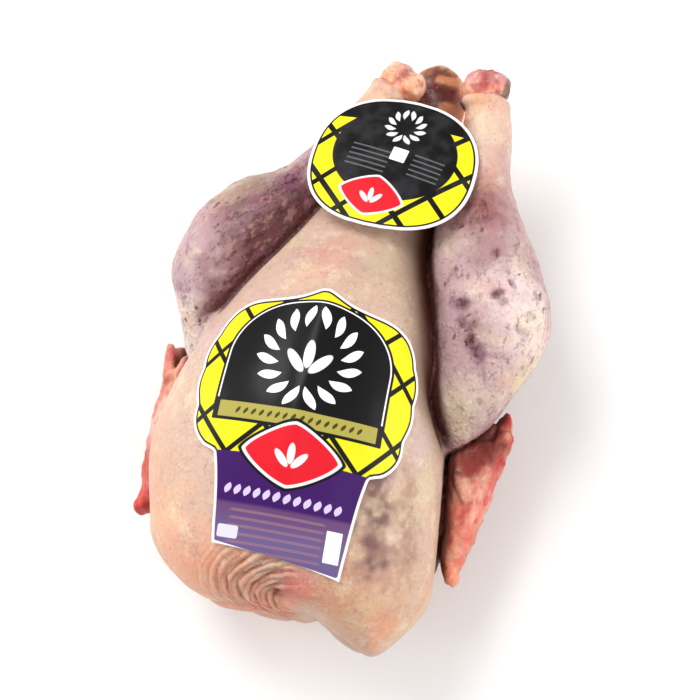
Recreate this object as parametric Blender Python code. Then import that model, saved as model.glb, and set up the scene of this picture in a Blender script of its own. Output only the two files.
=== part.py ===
"""A dressed turkey, plucked and drawn, lying on its back, with two plain printed labels.

X runs to the bird's right, Y from the neck to the tail and Z up, in metres.
The origin is on the flat of the back, which the bird rests on.
"""

import math

import bmesh
import bpy
from mathutils import Matrix, Vector
from mathutils.bvhtree import BVHTree

# Clearances and walls
GAP = 0.0003
LABEL_LIFT = 0.0009
LABEL_THICKNESS = 0.0007
FLAT_LEVEL = 0.0

# How finely a form is made: the share of its rings in each rounded end,
# and the points walked over when a length is measured round the breast
END_RINGS = 0.22
ARC_STEPS = 60
KEEL_STEPS = 120

# A form is a row of sections carried along a straight line from start to end.
# Each section is (place along the line, half width, rise, drop, sideways shift, lift).
TORSO = {
    "start": (0.0, -0.166, 0.070),
    "end": (0.0, 0.154, 0.070),
    "sections": [
        (0.00, 0.079, 0.054, 0.062, 0.004, 0.004),
        (0.12, 0.083, 0.065, 0.070, -0.003, 0.001),
        (0.25, 0.086, 0.073, 0.075, -0.011, 0.000),
        (0.36, 0.083, 0.075, 0.076, -0.011, 0.000),
        (0.48, 0.075, 0.070, 0.076, -0.007, 0.000),
        (0.60, 0.063, 0.060, 0.075, -0.002, 0.000),
        (0.72, 0.051, 0.043, 0.072, 0.002, -0.001),
        (0.83, 0.042, 0.027, 0.064, 0.005, -0.005),
        (0.92, 0.036, 0.019, 0.053, 0.008, -0.010),
        (1.00, 0.030, 0.014, 0.041, 0.011, -0.015),
    ],
    "caps": (0.12, 0.08),
    "power": 2.05,
    "rings": 38,
    "sides": 40,
}
PINCH = {"share": 0.30, "from": 0.062, "to": 0.012}
# Pushes of the front end towards the tail: (x, width, depth, reach behind the front)
FRONT = [
    (0.020, 0.012, 0.008, 0.026),
    (-0.016, 0.026, 0.006, 0.034),
    (-0.062, 0.026, -0.006, 0.050),
    (0.062, 0.026, -0.018, 0.050),
]
KEEL = {"x": -0.004, "height": 0.0035, "width": 0.009, "front": -0.125, "back": 0.085}

CAVITY = {
    "start": (0.004, 0.030, 0.060),
    "end": (0.016, 0.190, 0.086),
    "sections": [
        (0.00, 0.030, 0.024, 0.026, 0.0, 0.0),
        (0.50, 0.026, 0.020, 0.022, 0.0, 0.0),
        (1.00, 0.022, 0.018, 0.019, 0.0, 0.0),
    ],
    "caps": (0.30, 0.05),
    "power": 2.0,
    "rings": 16,
    "sides": 24,
}

TAIL = {
    "start": (0.011, 0.126, 0.046),
    "end": (0.015, 0.186, 0.060),
    "sections": [
        (0.00, 0.025, 0.014, 0.018, 0.0, 0.0),
        (0.45, 0.020, 0.010, 0.014, 0.0, 0.0),
        (0.75, 0.0175, 0.009, 0.010, 0.0, 0.0),
        (1.00, 0.012, 0.006, 0.007, 0.0, 0.0),
    ],
    "caps": (0.25, 0.20),
    "power": 2.0,
    "rings": 16,
    "sides": 22,
}

NECK = {
    "start": (-0.056, -0.146, 0.052),
    "end": (0.022, -0.144, 0.055),
    "sections": [
        (0.00, 0.015, 0.024, 0.030, 0.0, 0.0),
        (0.30, 0.018, 0.032, 0.036, 0.0, 0.0),
        (0.70, 0.018, 0.032, 0.036, 0.0, 0.0),
        (1.00, 0.015, 0.024, 0.028, 0.0, 0.0),
    ],
    "caps": (0.22, 0.22),
    "power": 2.2,
    "rings": 36,
    "sides": 14,
}
NECK_PLEATS = {"count": 5, "depth": 0.0012, "lean": 0.25, "fade": 0.010}

LEGS = {
    "right": {
        "hip": (0.046, 0.058, 0.048),
        "thigh_end": (0.069, -0.053, 0.070),
        "knee": (0.070, -0.047, 0.076),
        "hock": (0.0465, 0.169, 0.088),
        "shin": [
            (0.00, 0.0170, 0.017, 0.018, 0.0000, 0.0),
            (0.10, 0.0240, 0.023, 0.025, 0.0070, 0.0),
            (0.20, 0.0300, 0.028, 0.030, 0.0140, 0.0),
            (0.34, 0.0360, 0.033, 0.034, 0.0172, 0.0),
            (0.48, 0.0340, 0.032, 0.032, 0.0110, 0.0),
            (0.60, 0.0255, 0.025, 0.026, 0.0070, 0.0),
            (0.72, 0.0180, 0.018, 0.019, 0.0040, 0.0),
            (0.86, 0.0135, 0.0135, 0.0135, 0.0045, 0.0),
            (1.00, 0.0125, 0.0125, 0.0125, 0.0000, 0.0),
        ],
    },
    "left": {
        "hip": (-0.046, 0.062, 0.048),
        "thigh_end": (-0.085, -0.032, 0.068),
        "knee": (-0.096, -0.005, 0.074),
        "hock": (-0.0015, 0.161, 0.088),
        "shin": [
            (0.00, 0.0200, 0.020, 0.021, 0.0000, 0.0),
            (0.14, 0.0330, 0.030, 0.031, -0.0010, 0.0),
            (0.28, 0.0365, 0.033, 0.034, -0.0035, 0.0),
            (0.42, 0.0325, 0.029, 0.030, -0.0020, 0.0),
            (0.54, 0.0215, 0.021, 0.022, 0.0010, 0.0),
            (0.66, 0.0165, 0.016, 0.017, 0.0010, 0.0),
            (0.84, 0.0135, 0.0135, 0.0135, 0.0000, 0.0),
            (1.00, 0.0125, 0.0125, 0.0125, 0.0000, 0.0),
        ],
    },
}
THIGH_SECTIONS = [
    (0.00, 0.034, 0.034, 0.038, 0.0, 0.0),
    (0.35, 0.038, 0.037, 0.040, 0.0, 0.0),
    (0.70, 0.033, 0.034, 0.038, 0.0, 0.0),
    (1.00, 0.025, 0.024, 0.028, 0.0, 0.0),
]
ANKLE_CUT = 0.945

# The cut joint past the ankle: a shank, and two round knobs side by side
SHANK = {"from": -0.010, "to": 0.0136, "half": 0.0110}
KNOB = {"reach": 0.0105, "apart": 0.0062, "half": (0.0092, 0.0085, 0.0118)}

WINGS = {
    "right": {
        "shoulder": (0.050, -0.128, 0.046),
        "elbow": (0.074, -0.034, 0.038),
        "fold": (0.085, -0.034, 0.058),
        "wrist": (0.086, -0.117, 0.050),
        "tip": (0.102, -0.018, 0.052),
    },
    "left": {
        "shoulder": (-0.058, -0.128, 0.042),
        "elbow": (-0.080, -0.034, 0.034),
        "fold": (-0.090, -0.034, 0.050),
        "wrist": (-0.1015, -0.118, 0.044),
        "tip": (-0.104, -0.016, 0.046),
    },
}
UPPER_WING_SECTIONS = [
    (0.00, 0.024, 0.022, 0.022, 0.0, 0.0),
    (0.45, 0.022, 0.020, 0.020, 0.0, 0.0),
    (0.80, 0.017, 0.016, 0.016, 0.0, 0.0),
    (1.00, 0.015, 0.015, 0.015, 0.0, 0.0),
]
FOREWING_SECTIONS = [
    (0.00, 0.015, 0.015, 0.016, 0.0, 0.0),
    (0.35, 0.016, 0.016, 0.017, 0.0, 0.0),
    (0.75, 0.012, 0.013, 0.014, 0.0, 0.0),
    (1.00, 0.011, 0.012, 0.012, 0.0, 0.0),
]
WING_TIP_SECTIONS = [
    (0.00, 0.0105, 0.011, 0.013, 0.0, 0.0),
    (0.25, 0.0085, 0.011, 0.016, 0.0, 0.0),
    (0.65, 0.0070, 0.010, 0.015, 0.0, 0.0),
    (1.00, 0.0050, 0.007, 0.010, 0.0, 0.0),
]
WEB = {"near": 0.16, "far": 1.02, "narrow": 0.006, "wide": 0.015, "half": 0.0045}

# Places along the torso between which the breast label may lie
LABEL_REACH = (0.02, 0.92)

# The breast label's outline is its half width at each share of its length
BREAST_LABEL = {
    "centre": (-0.0025, -0.062),
    "turn": math.radians(-2.5),
    "length": 0.155,
    "outline": [
        (0.000, 0.0385),
        (0.350, 0.0440),
        (0.370, 0.0520),
        (0.430, 0.0590),
        (0.530, 0.0630),
        (0.620, 0.0655),
        (0.710, 0.0650),
        (0.790, 0.0620),
        (0.873, 0.0540),
        (0.930, 0.0410),
        (0.960, 0.0220),
        (1.000, 0.0020),
    ],
    "rows": 22,
    "columns": 12,
}
LEG_TAG = {
    "centre": (0.0075, 0.101),
    "width": 0.097,
    "length": 0.087,
    "slope": 0.30,
    "droop": 3.2,
    "along": 0.4,
    "power": 2.4,
    "blunt": 0.998,
    "rows": 12,
    "columns": 12,
}

LABEL_COLOUR = (0.20, 0.05, 0.25, 1.0)
SKIN_COLOURS = {
    "breast": (0.74, 0.56, 0.44, 1.0),
    "leg": (0.55, 0.41, 0.41, 1.0),
    "wing": (0.72, 0.36, 0.28, 1.0),
    "bone": (0.80, 0.66, 0.60, 1.0),
}


def clear_scene():
    for item in list(bpy.data.objects):
        bpy.data.objects.remove(item, do_unlink=True)


def material(name, colour, roughness):
    made = bpy.data.materials.get(name)
    if made:
        return made
    made = bpy.data.materials.new(name)
    made.use_nodes = True
    shader = made.node_tree.nodes["Principled BSDF"]
    shader.inputs["Base Color"].default_value = colour
    shader.inputs["Roughness"].default_value = roughness
    shader.inputs["Metallic"].default_value = 0.0
    return made


def through(rows, place, column):
    """The column's value at a place, on a smooth curve through the rows."""
    last = len(rows) - 1
    if place <= rows[0][0]:
        return rows[0][column]
    if place >= rows[last][0]:
        return rows[last][column]
    i = max(k for k in range(last) if rows[k][0] <= place)

    def slope(k):
        low, high = max(k - 1, 0), min(k + 1, last)
        return (rows[high][column] - rows[low][column]) / (rows[high][0] - rows[low][0])

    span = rows[i + 1][0] - rows[i][0]
    t = (place - rows[i][0]) / span
    near, far = rows[i][column], rows[i + 1][column]
    return (
        near * (2 * t**3 - 3 * t**2 + 1)
        + slope(i) * span * (t**3 - 2 * t**2 + t)
        + far * (3 * t**2 - 2 * t**3)
        + slope(i + 1) * span * (t**3 - t**2)
    )


def cap_share(place, caps):
    """How far a section has opened: 0 at either end of the form, 1 past its rounded caps."""
    share = 1.0
    if place < caps[0]:
        share = math.sqrt(max(0.0, 1 - (1 - place / caps[0]) ** 2))
    if place > 1 - caps[1]:
        share = min(share, math.sqrt(max(0.0, 1 - ((place - 1 + caps[1]) / caps[1]) ** 2)))
    return share


def frame_of(form):
    """The form's start, its line, and the directions across it and up from it."""
    start, end = Vector(form["start"]), Vector(form["end"])
    along = (end - start).normalized()
    across = along.cross(Vector((0, 0, 1))).normalized()
    return start, end - start, across, across.cross(along)


def ring_places(form):
    """Places of the rings, closer together where a cap curves in."""
    first, last = form["caps"]
    middle = 1 - first - last
    count = form["rings"]
    in_caps = max(4, round(count * END_RINGS))
    places = [first * (1 - math.cos(math.pi / 2 * k / in_caps)) for k in range(1, in_caps + 1)]
    straight = count - 2 * in_caps
    places += [first + middle * k / straight for k in range(1, straight)]
    places += [1 - last * (1 - math.cos(math.pi / 2 * k / in_caps)) for k in range(in_caps, 0, -1)]
    return places


def section_points(form, place, sides):
    """One closed section of a form, in world space."""
    start, line, across, up = frame_of(form)
    width, rise, drop, shift, lift = (through(form["sections"], place, c) for c in range(1, 6))
    share = cap_share(place, form["caps"])
    power = 2 / form["power"]
    centre = start + line * place + across * shift + up * lift
    points = []
    for k in range(sides):
        angle = 2 * math.pi * k / sides
        c, s = math.cos(angle), math.sin(angle)
        out = width * share * math.copysign(abs(c) ** power, c)
        high = (rise if s > 0 else drop) * share * math.copysign(abs(s) ** power, s)
        points.append(centre + across * out + up * high)
    return points


def warped(form, point):
    return form["warp"](point) if "warp" in form else point


def carried(name, form):
    """A closed mesh object: the form's sections joined ring to ring, with a point at each end."""
    sides = form["sides"]
    start, line, across, up = frame_of(form)
    shape = bmesh.new()
    rings = []
    for place in ring_places(form):
        points = section_points(form, place, sides)
        rings.append([shape.verts.new(warped(form, p)) for p in points])
    for near, far in zip(rings, rings[1:]):
        for k in range(sides):
            n = (k + 1) % sides
            shape.faces.new((near[k], near[n], far[n], far[k]))
    for ring, place in ((rings[0], 0.0), (rings[-1], 1.0)):
        shift, lift = (through(form["sections"], place, c) for c in (4, 5))
        tip = shape.verts.new(warped(form, start + line * place + across * shift + up * lift))
        for k in range(sides):
            shape.faces.new((ring[k], ring[(k + 1) % sides], tip))
    bmesh.ops.recalc_face_normals(shape, faces=shape.faces)
    bmesh.ops.triangulate(shape, faces=shape.faces)
    return mesh_object(name, shape)


def mesh_object(name, shape):
    mesh = bpy.data.meshes.new(name)
    shape.to_mesh(mesh)
    shape.free()
    made = bpy.data.objects.new(name, mesh)
    bpy.context.scene.collection.objects.link(made)
    return made


def settle(item):
    """Applies an object's modifiers to its mesh."""
    graph = bpy.context.evaluated_depsgraph_get()
    mesh = bpy.data.meshes.new_from_object(item.evaluated_get(graph))
    item.modifiers.clear()
    item.data = mesh


def boolean(item, other, operation):
    modifier = item.modifiers.new(operation.lower(), "BOOLEAN")
    modifier.operation = operation
    modifier.solver = "EXACT"
    modifier.object = other
    settle(item)
    keep_largest(item)


def grown(item, by=GAP):
    """A copy of a whole form whose surface stands out by the gap, for cutting its neighbours."""
    copy = item.copy()
    copy.data = item.data.copy()
    bpy.context.scene.collection.objects.link(copy)
    swell = copy.modifiers.new("swell", "DISPLACE")
    swell.strength = by
    swell.mid_level = 0.0
    settle(copy)
    return copy


def keep_largest(item):
    """Keeps the largest closed surface of a mesh and drops loose scraps."""
    shape = bmesh.new()
    shape.from_mesh(item.data)
    bmesh.ops.remove_doubles(shape, verts=shape.verts, dist=1e-6)
    left, islands = set(shape.faces), []
    while left:
        todo, island = [left.pop()], []
        while todo:
            face = todo.pop()
            island.append(face)
            near = {f for edge in face.edges for f in edge.link_faces if f in left}
            left -= near
            todo.extend(near)
        islands.append(island)
    islands.sort(key=lambda faces: sum(f.calc_area() for f in faces))
    scraps = [f for island in islands[:-1] for f in island]
    bmesh.ops.delete(shape, geom=scraps, context="FACES")
    loose = [v for v in shape.verts if not v.link_faces]
    bmesh.ops.delete(shape, geom=loose, context="VERTS")
    shape.to_mesh(item.data)
    shape.free()


def cut_clear(item, cutters):
    """Cuts an object back by the swollen copies of its neighbours' whole forms."""
    for cutter in cutters:
        boolean(item, cutter, "DIFFERENCE")


def block(point, normal, size=0.5):
    """A large box whose one face passes through the point and faces along the normal."""
    shape = bmesh.new()
    turn = Vector(normal).to_track_quat("Z", "Y").to_matrix().to_4x4()
    place = Matrix.Translation(point) @ turn @ Matrix.Translation((0, 0, -size / 2))
    bmesh.ops.create_cube(shape, size=size, matrix=place)
    return mesh_object("block", shape)


def keep_below(item, point, normal):
    """Keeps the part of an object on the far side of a plane from its normal."""
    cutter = block(point, normal)
    boolean(item, cutter, "INTERSECT")
    bpy.data.objects.remove(cutter, do_unlink=True)


def torso_warp(point):
    """The shoulders and the hollow between them, the keel's low ridge and the narrow back."""
    x, y, z = point
    behind = y - TORSO["start"][1]
    back_off = 0.0
    for centre, width, depth, reach in FRONT:
        near = max(0.0, 1 - behind / reach)
        back_off += depth * math.exp(-(((x - centre) / width) ** 2)) * near**2
    span = (y - KEEL["front"]) / (KEEL["back"] - KEEL["front"])
    ridge = math.exp(-(((x - KEEL["x"]) / KEEL["width"]) ** 2))
    ridge *= math.sin(math.pi * min(1, max(0, span)))
    high = max(0.0, (z - TORSO["start"][2]) / TORSO["start"][2])
    low = min(1.0, max(0.0, (PINCH["from"] - z) / (PINCH["from"] - PINCH["to"])))
    narrow = 1 - PINCH["share"] * low * low * (3 - 2 * low)
    return Vector((x * narrow, y + back_off, z + KEEL["height"] * ridge * min(1, high)))


def neck_warp(point):
    """Gathers of the neck skin: ridges that run up and down the flap."""
    start, end = Vector(NECK["start"]), Vector(NECK["end"])
    lean = NECK_PLEATS["lean"] * (point.z - start.z)
    share = (point.x + lean - start.x) / (end.x - start.x)
    wave = math.cos(2 * math.pi * NECK_PLEATS["count"] * share)
    front = min(1.0, max(0.0, (start.y - point.y) / NECK_PLEATS["fade"]))
    return Vector((point.x, point.y - NECK_PLEATS["depth"] * wave * front, point.z))


def limb(start, end, sections, caps, rings, sides, power=2.0):
    return {
        "start": start,
        "end": end,
        "sections": sections,
        "caps": caps,
        "power": power,
        "rings": rings,
        "sides": sides,
    }


def make_torso():
    torso = carried("torso", {**TORSO, "warp": torso_warp})
    clear = grown(torso)
    hollow = carried("hollow", CAVITY)
    boolean(torso, hollow, "DIFFERENCE")
    bpy.data.objects.remove(hollow, do_unlink=True)
    keep_below(torso, (0, 0, FLAT_LEVEL), (0, 0, -1))
    return torso, clear


def make_hock(name, ankle, line):
    """The cut end of the leg bone: a short shank and a joint with two round knobs."""
    along = line.normalized()
    across = along.cross(Vector((0, 0, 1))).normalized()
    turn = Matrix((across, along, across.cross(along))).transposed().to_4x4()
    half = SHANK["half"]
    rows = [(0.0, half, half, half, 0, 0), (1.0, half, half, half, 0, 0)]
    near, far = ankle + along * SHANK["from"], ankle + along * SHANK["to"]
    hock = carried(name, limb(near, far, rows, (0.2, 0.2), 12, 18))
    for side in (-1, 1):
        centre = ankle + along * KNOB["reach"] + across * side * KNOB["apart"]
        place = Matrix.Translation(centre) @ turn @ Matrix.Diagonal((*KNOB["half"], 1))
        shape = bmesh.new()
        bmesh.ops.create_uvsphere(shape, u_segments=16, v_segments=10, radius=1.0, matrix=place)
        knob = mesh_object("knob", shape)
        boolean(hock, knob, "UNION")
        bpy.data.objects.remove(knob, do_unlink=True)
    return hock


def make_leg(side, torso_clear):
    """Thigh, drumstick and hock of one leg, cut apart at the knee and at the ankle."""
    leg = LEGS[side]
    thigh = carried(
        f"thigh_{side}", limb(leg["hip"], leg["thigh_end"], THIGH_SECTIONS, (0.45, 0.40), 16, 20)
    )
    shin = limb(leg["knee"], leg["hock"], leg["shin"], (0.12, 0.02), 24, 20)
    drumstick = carried(f"drumstick_{side}", shin)
    clear = [grown(thigh), grown(drumstick)]
    knee, line = Vector(leg["knee"]), Vector(leg["hock"]) - Vector(leg["knee"])
    ankle = knee + line * ANKLE_CUT
    hock = make_hock(f"hock_{side}", ankle, line)
    keep_below(hock, tuple(ankle), tuple(-line))
    keep_below(drumstick, tuple(ankle - line.normalized() * GAP), tuple(line))
    cut_clear(drumstick, [torso_clear])
    cut_clear(thigh, [torso_clear, clear[1]])
    keep_below(thigh, (0, 0, FLAT_LEVEL), (0, 0, -1))
    return (thigh, drumstick, hock), clear


def make_web(wing):
    """The flap of skin between forewing and wing tip, widest at the elbow."""
    wrist = Vector(wing["wrist"])
    between = (Vector(wing["fold"]) + Vector(wing["tip"])) / 2
    near = wrist.lerp(between, WEB["near"])
    far = wrist.lerp(between, WEB["far"])
    thick = WEB["half"]
    rows = [(0.0, WEB["narrow"], thick, thick, 0, 0), (1.0, WEB["wide"], thick, thick, 0, 0)]
    return carried("web", limb(tuple(near), tuple(far), rows, (0.10, 0.10), 12, 16))


def make_wing(side, others):
    """Upper wing, forewing and wing tip, folded against the flank."""
    wing = WINGS[side]
    upper = carried(
        f"upper_wing_{side}",
        limb(wing["shoulder"], wing["elbow"], UPPER_WING_SECTIONS, (0.22, 0.16), 14, 16),
    )
    fore = carried(
        f"forewing_{side}", limb(wing["fold"], wing["wrist"], FOREWING_SECTIONS, (0.16, 0.16), 14, 16)
    )
    tip = carried(
        f"wing_tip_{side}", limb(wing["wrist"], wing["tip"], WING_TIP_SECTIONS, (0.14, 0.14), 16, 16)
    )
    web = make_web(wing)
    boolean(fore, web, "UNION")
    bpy.data.objects.remove(web, do_unlink=True)
    clear = [grown(upper), grown(fore)]
    cut_clear(upper, others)
    cut_clear(fore, [*others, clear[0]])
    cut_clear(tip, [*others, *clear])
    return (upper, fore, tip), clear


def top_of(place):
    """The point of the torso's top edge at a place along it."""
    start, run, across, up = frame_of(TORSO)
    rise, shift, lift = (through(TORSO["sections"], place, c) for c in (2, 4, 5))
    share = cap_share(place, TORSO["caps"])
    return torso_warp(start + run * place + across * shift + up * (lift + rise * share))


def keel_line():
    """Rows of the torso's top edge, front to back: (length along it, place, y)."""
    first, last = LABEL_REACH
    rows, length, before = [], 0.0, None
    for k in range(KEEL_STEPS + 1):
        place = first + (last - first) * k / KEEL_STEPS
        point = top_of(place)
        if before:
            length += (point - before).length
        rows.append((length, place, point.y))
        before = point
    return rows


def breast_normal(point, place):
    """Outward direction of the torso at a point, from its section's centre and its top's slope."""
    first, last = LABEL_REACH
    ahead = top_of(min(last, place + first)) - top_of(max(0.0, place - first))
    start, run, across, up = frame_of(TORSO)
    width, rise, drop, shift, lift = (through(TORSO["sections"], place, c) for c in range(1, 6))
    share = cap_share(place, TORSO["caps"])
    out = point - (start + run * place + across * shift + up * lift)
    flat = Vector((out.x / (width * share) ** 2, 0, out.z / (rise * share) ** 2)).normalized()
    tangent = ahead.normalized()
    return (flat - tangent * flat.dot(tangent)).normalized()


def on_breast(across, place, lift):
    """The point of the torso's skin a given way round from its top edge, raised by lift."""
    ring = section_points(TORSO, place, 4 * ARC_STEPS)
    arc = [torso_warp(p) for p in ring[: 2 * ARC_STEPS + 1]]
    walk = arc[ARC_STEPS:] if across < 0 else arc[ARC_STEPS::-1]
    left, point = abs(across), walk[-1]
    for near, far in zip(walk, walk[1:]):
        step = (far - near).length
        if left <= step:
            point = near + (far - near) * (left / step)
            break
        left -= step
    return point + lift * breast_normal(point, place)


def plate(name, under, over):
    """A thin closed plate between two grids of points."""
    rows, columns = len(under), len(under[0])
    shape = bmesh.new()
    low = [[shape.verts.new(p) for p in row] for row in under]
    top = [[shape.verts.new(p) for p in row] for row in over]
    for i in range(rows - 1):
        for j in range(columns - 1):
            a, b, c, d = (i, j), (i + 1, j), (i + 1, j + 1), (i, j + 1)
            for grid in (low, top):
                corners = [grid[r][q] for r, q in (a, b, c, d)]
                shape.faces.new(corners[:3])
                shape.faces.new((corners[0], corners[2], corners[3]))
    rim = [(0, j) for j in range(columns)] + [(i, columns - 1) for i in range(1, rows)]
    rim += [(rows - 1, j) for j in range(columns - 2, -1, -1)] + [(i, 0) for i in range(rows - 2, 0, -1)]
    for (a, b), (c, d) in zip(rim, rim[1:] + rim[:1]):
        shape.faces.new((low[a][b], low[c][d], top[c][d], top[a][b]))
    bmesh.ops.recalc_face_normals(shape, faces=shape.faces)
    return mesh_object(name, shape)


def make_breast_label():
    """A shield-shaped label that follows the breast."""
    label = BREAST_LABEL
    keel = keel_line()
    middle = min(keel, key=lambda row: abs(row[2] - label["centre"][1]))[0]
    c, s = math.cos(label["turn"]), math.sin(label["turn"])
    grids = []
    for lift in (LABEL_LIFT, LABEL_LIFT + LABEL_THICKNESS):
        rows = []
        for i in range(label["rows"] + 1):
            share = i / label["rows"]
            half = through(label["outline"], share, 1)
            row = []
            for j in range(label["columns"] + 1):
                side = half * (2 * j / label["columns"] - 1)
                ahead = (share - 0.5) * label["length"]
                u = label["centre"][0] + side * c + ahead * s
                v = middle - side * s + ahead * c
                place = through(keel, v, 1)
                u -= through(TORSO["sections"], place, 4)
                row.append(on_breast(u, place, lift))
            rows.append(row)
        grids.append(rows)
    return plate("breast_label", *grids)


def tag_grid(rows, columns):
    """Points of the tag's underside at height zero: a rounded outline on a drooping slope."""
    tag = LEG_TAG
    power = tag["power"]
    grid = []
    for i in range(rows + 1):
        v = tag["length"] * (i / rows - 0.5) * tag["blunt"]
        half = tag["width"] / 2 * (1 - abs(2 * v / tag["length"]) ** power) ** (1 / power)
        row = []
        for j in range(columns + 1):
            u = half * (2 * j / columns - 1)
            drop = tag["droop"] * (u * u + tag["along"] * v * v) + tag["slope"] * v
            row.append(Vector((tag["centre"][0] + u, tag["centre"][1] + v, -drop)))
        grid.append(row)
    return grid


def make_leg_tag(flesh):
    """A stiff round tag over the vent, resting on the breast's end and the drumsticks."""
    height = -1.0
    for surface in flesh:
        tree = BVHTree.FromObject(surface, bpy.context.evaluated_depsgraph_get())
        for point in (p for row in tag_grid(48, 48) for p in row):
            hit = tree.ray_cast(Vector((point.x, point.y, 0.5)), Vector((0, 0, -1)))[0]
            if hit:
                height = max(height, hit.z - point.z)
    lift = Vector((0, 0, height + LABEL_LIFT))
    under = [[p + lift for p in row] for row in tag_grid(LEG_TAG["rows"], LEG_TAG["columns"])]
    over = [[p + Vector((0, 0, LABEL_THICKNESS)) for p in row] for row in under]
    return plate("leg_tag", under, over)


def finish(item, colour, roughness=0.45):
    """Gives a node its material and shading."""
    item.data.materials.clear()
    item.data.materials.append(material(*colour, roughness))
    item.data.shade_smooth()
    item.data.set_sharp_from_angle(angle=math.radians(40))


def main():
    clear_scene()
    breast = ("breast_skin", SKIN_COLOURS["breast"])
    leg_skin = ("leg_skin", SKIN_COLOURS["leg"])
    wing_skin = ("wing_skin", SKIN_COLOURS["wing"])
    torso, torso_clear = make_torso()
    cutters = [torso_clear]
    tail = carried("tail", TAIL)
    cut_clear(tail, [torso_clear])
    neck = carried("neck_skin", {**NECK, "warp": neck_warp})
    cut_clear(neck, [torso_clear])
    finish(torso, breast)
    finish(neck, breast)
    finish(tail, wing_skin)
    drumsticks = []
    for side in LEGS:
        (thigh, drumstick, hock), leg_clear = make_leg(side, torso_clear)
        drumsticks.append(drumstick)
        finish(thigh, leg_skin)
        finish(drumstick, leg_skin)
        finish(hock, ("bone_end", SKIN_COLOURS["bone"]))
        pieces, wing_clear = make_wing(side, [torso_clear, *leg_clear])
        for piece in pieces:
            finish(piece, wing_skin)
        cutters += [*leg_clear, *wing_clear]
    finish(make_breast_label(), ("label_print", LABEL_COLOUR), 0.3)
    finish(make_leg_tag([torso, *drumsticks]), ("label_print", LABEL_COLOUR), 0.3)
    for cutter in cutters:
        bpy.data.objects.remove(cutter, do_unlink=True)


main()
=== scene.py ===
import math
from functools import partialmethod

import bpy
import numpy as np
from mathutils import Matrix, Vector


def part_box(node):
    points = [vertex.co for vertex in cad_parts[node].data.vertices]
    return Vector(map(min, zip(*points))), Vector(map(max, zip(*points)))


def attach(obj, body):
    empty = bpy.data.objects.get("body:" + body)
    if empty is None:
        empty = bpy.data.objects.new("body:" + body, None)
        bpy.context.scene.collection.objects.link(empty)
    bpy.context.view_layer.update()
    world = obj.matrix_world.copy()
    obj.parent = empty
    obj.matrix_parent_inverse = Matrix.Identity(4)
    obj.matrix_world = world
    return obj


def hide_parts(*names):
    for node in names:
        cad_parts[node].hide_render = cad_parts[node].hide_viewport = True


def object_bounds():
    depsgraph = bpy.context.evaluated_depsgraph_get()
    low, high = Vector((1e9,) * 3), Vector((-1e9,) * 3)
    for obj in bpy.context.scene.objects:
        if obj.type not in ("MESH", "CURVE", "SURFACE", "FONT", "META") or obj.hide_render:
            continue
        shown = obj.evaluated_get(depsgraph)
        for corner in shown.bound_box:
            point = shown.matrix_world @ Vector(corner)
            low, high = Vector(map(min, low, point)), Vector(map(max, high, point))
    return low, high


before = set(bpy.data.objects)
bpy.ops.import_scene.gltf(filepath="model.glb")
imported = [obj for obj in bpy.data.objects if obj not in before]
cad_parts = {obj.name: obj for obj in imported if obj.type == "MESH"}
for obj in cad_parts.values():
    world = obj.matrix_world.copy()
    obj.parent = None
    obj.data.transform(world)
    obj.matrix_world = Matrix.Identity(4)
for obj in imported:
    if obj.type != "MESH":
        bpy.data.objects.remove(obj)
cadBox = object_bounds()
print("frame loaded,", len(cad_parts), "solids")

# The bird's forms, in metres: x to the right of the picture, y from neck to tail, z up.
# A form is a row of sections carried along a line from start to end.
# Each row: place along the line, half width, rise, drop, shift sideways, lift; the last two may be left out.
torsoForm = {
    "start": (0.0, -0.166, 0.07), "end": (0.0, 0.154, 0.07), "caps": (0.12, 0.08), "power": 2.05,
    "rows": [
        (0.00, 0.079, 0.054, 0.062, 0.004, 0.004),
        (0.12, 0.083, 0.065, 0.07, -0.003, 0.001),
        (0.25, 0.086, 0.073, 0.075, -0.011, 0.000),
        (0.36, 0.082, 0.075, 0.076, -0.012, 0.000),
        (0.48, 0.072, 0.07, 0.076, -0.01, 0.000),
        (0.6, 0.06, 0.06, 0.075, -0.005, 0.000),
        (0.72, 0.049, 0.043, 0.072, 0.000, -0.001),
        (0.83, 0.042, 0.027, 0.064, 0.005, -0.005),
        (0.92, 0.036, 0.019, 0.053, 0.008, -0.01),
        (1.00, 0.03, 0.014, 0.041, 0.011, -0.015),
    ],
}
torsoShape = {
    "lobes": [(0.02, 0.012, 0.008, 0.026), (-0.016, 0.026, 0.006, 0.034),     # x, width, depth, reach
              (-0.062, 0.026, -0.006, 0.05), (0.062, 0.026, -0.018, 0.05)],
    "pinch": (0.3, 0.062, 0.012),      # share, from height, to height
    "keel": (-0.004, 0.009, 0.0035, -0.125, 0.085),     # x, width, height, from y, to y
}
cavityForm = {
    "start": (0.004, 0.03, 0.06), "end": (0.016, 0.19, 0.086), "caps": (0.3, 0.05), "power": 2.0,
    "rows": [(0.0, 0.03, 0.024, 0.026), (0.5, 0.026, 0.02, 0.022), (1.0, 0.022, 0.018, 0.019)],
}
tailForm = {
    "start": (0.011, 0.126, 0.046), "end": (0.015, 0.186, 0.06), "caps": (0.25, 0.2), "power": 2.0,
    "rows": [(0.0, 0.025, 0.014, 0.018), (0.45, 0.02, 0.01, 0.014),
             (0.75, 0.0175, 0.009, 0.01), (1.0, 0.012, 0.006, 0.007)],
}
neckForm = {
    "start": (-0.056, -0.146, 0.052), "end": (0.022, -0.144, 0.055), "caps": (0.22, 0.22), "power": 2.2,
    "rows": [(0.0, 0.015, 0.024, 0.03), (0.3, 0.018, 0.032, 0.036),
             (0.7, 0.018, 0.032, 0.036), (1.0, 0.015, 0.024, 0.028)],
}
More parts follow.
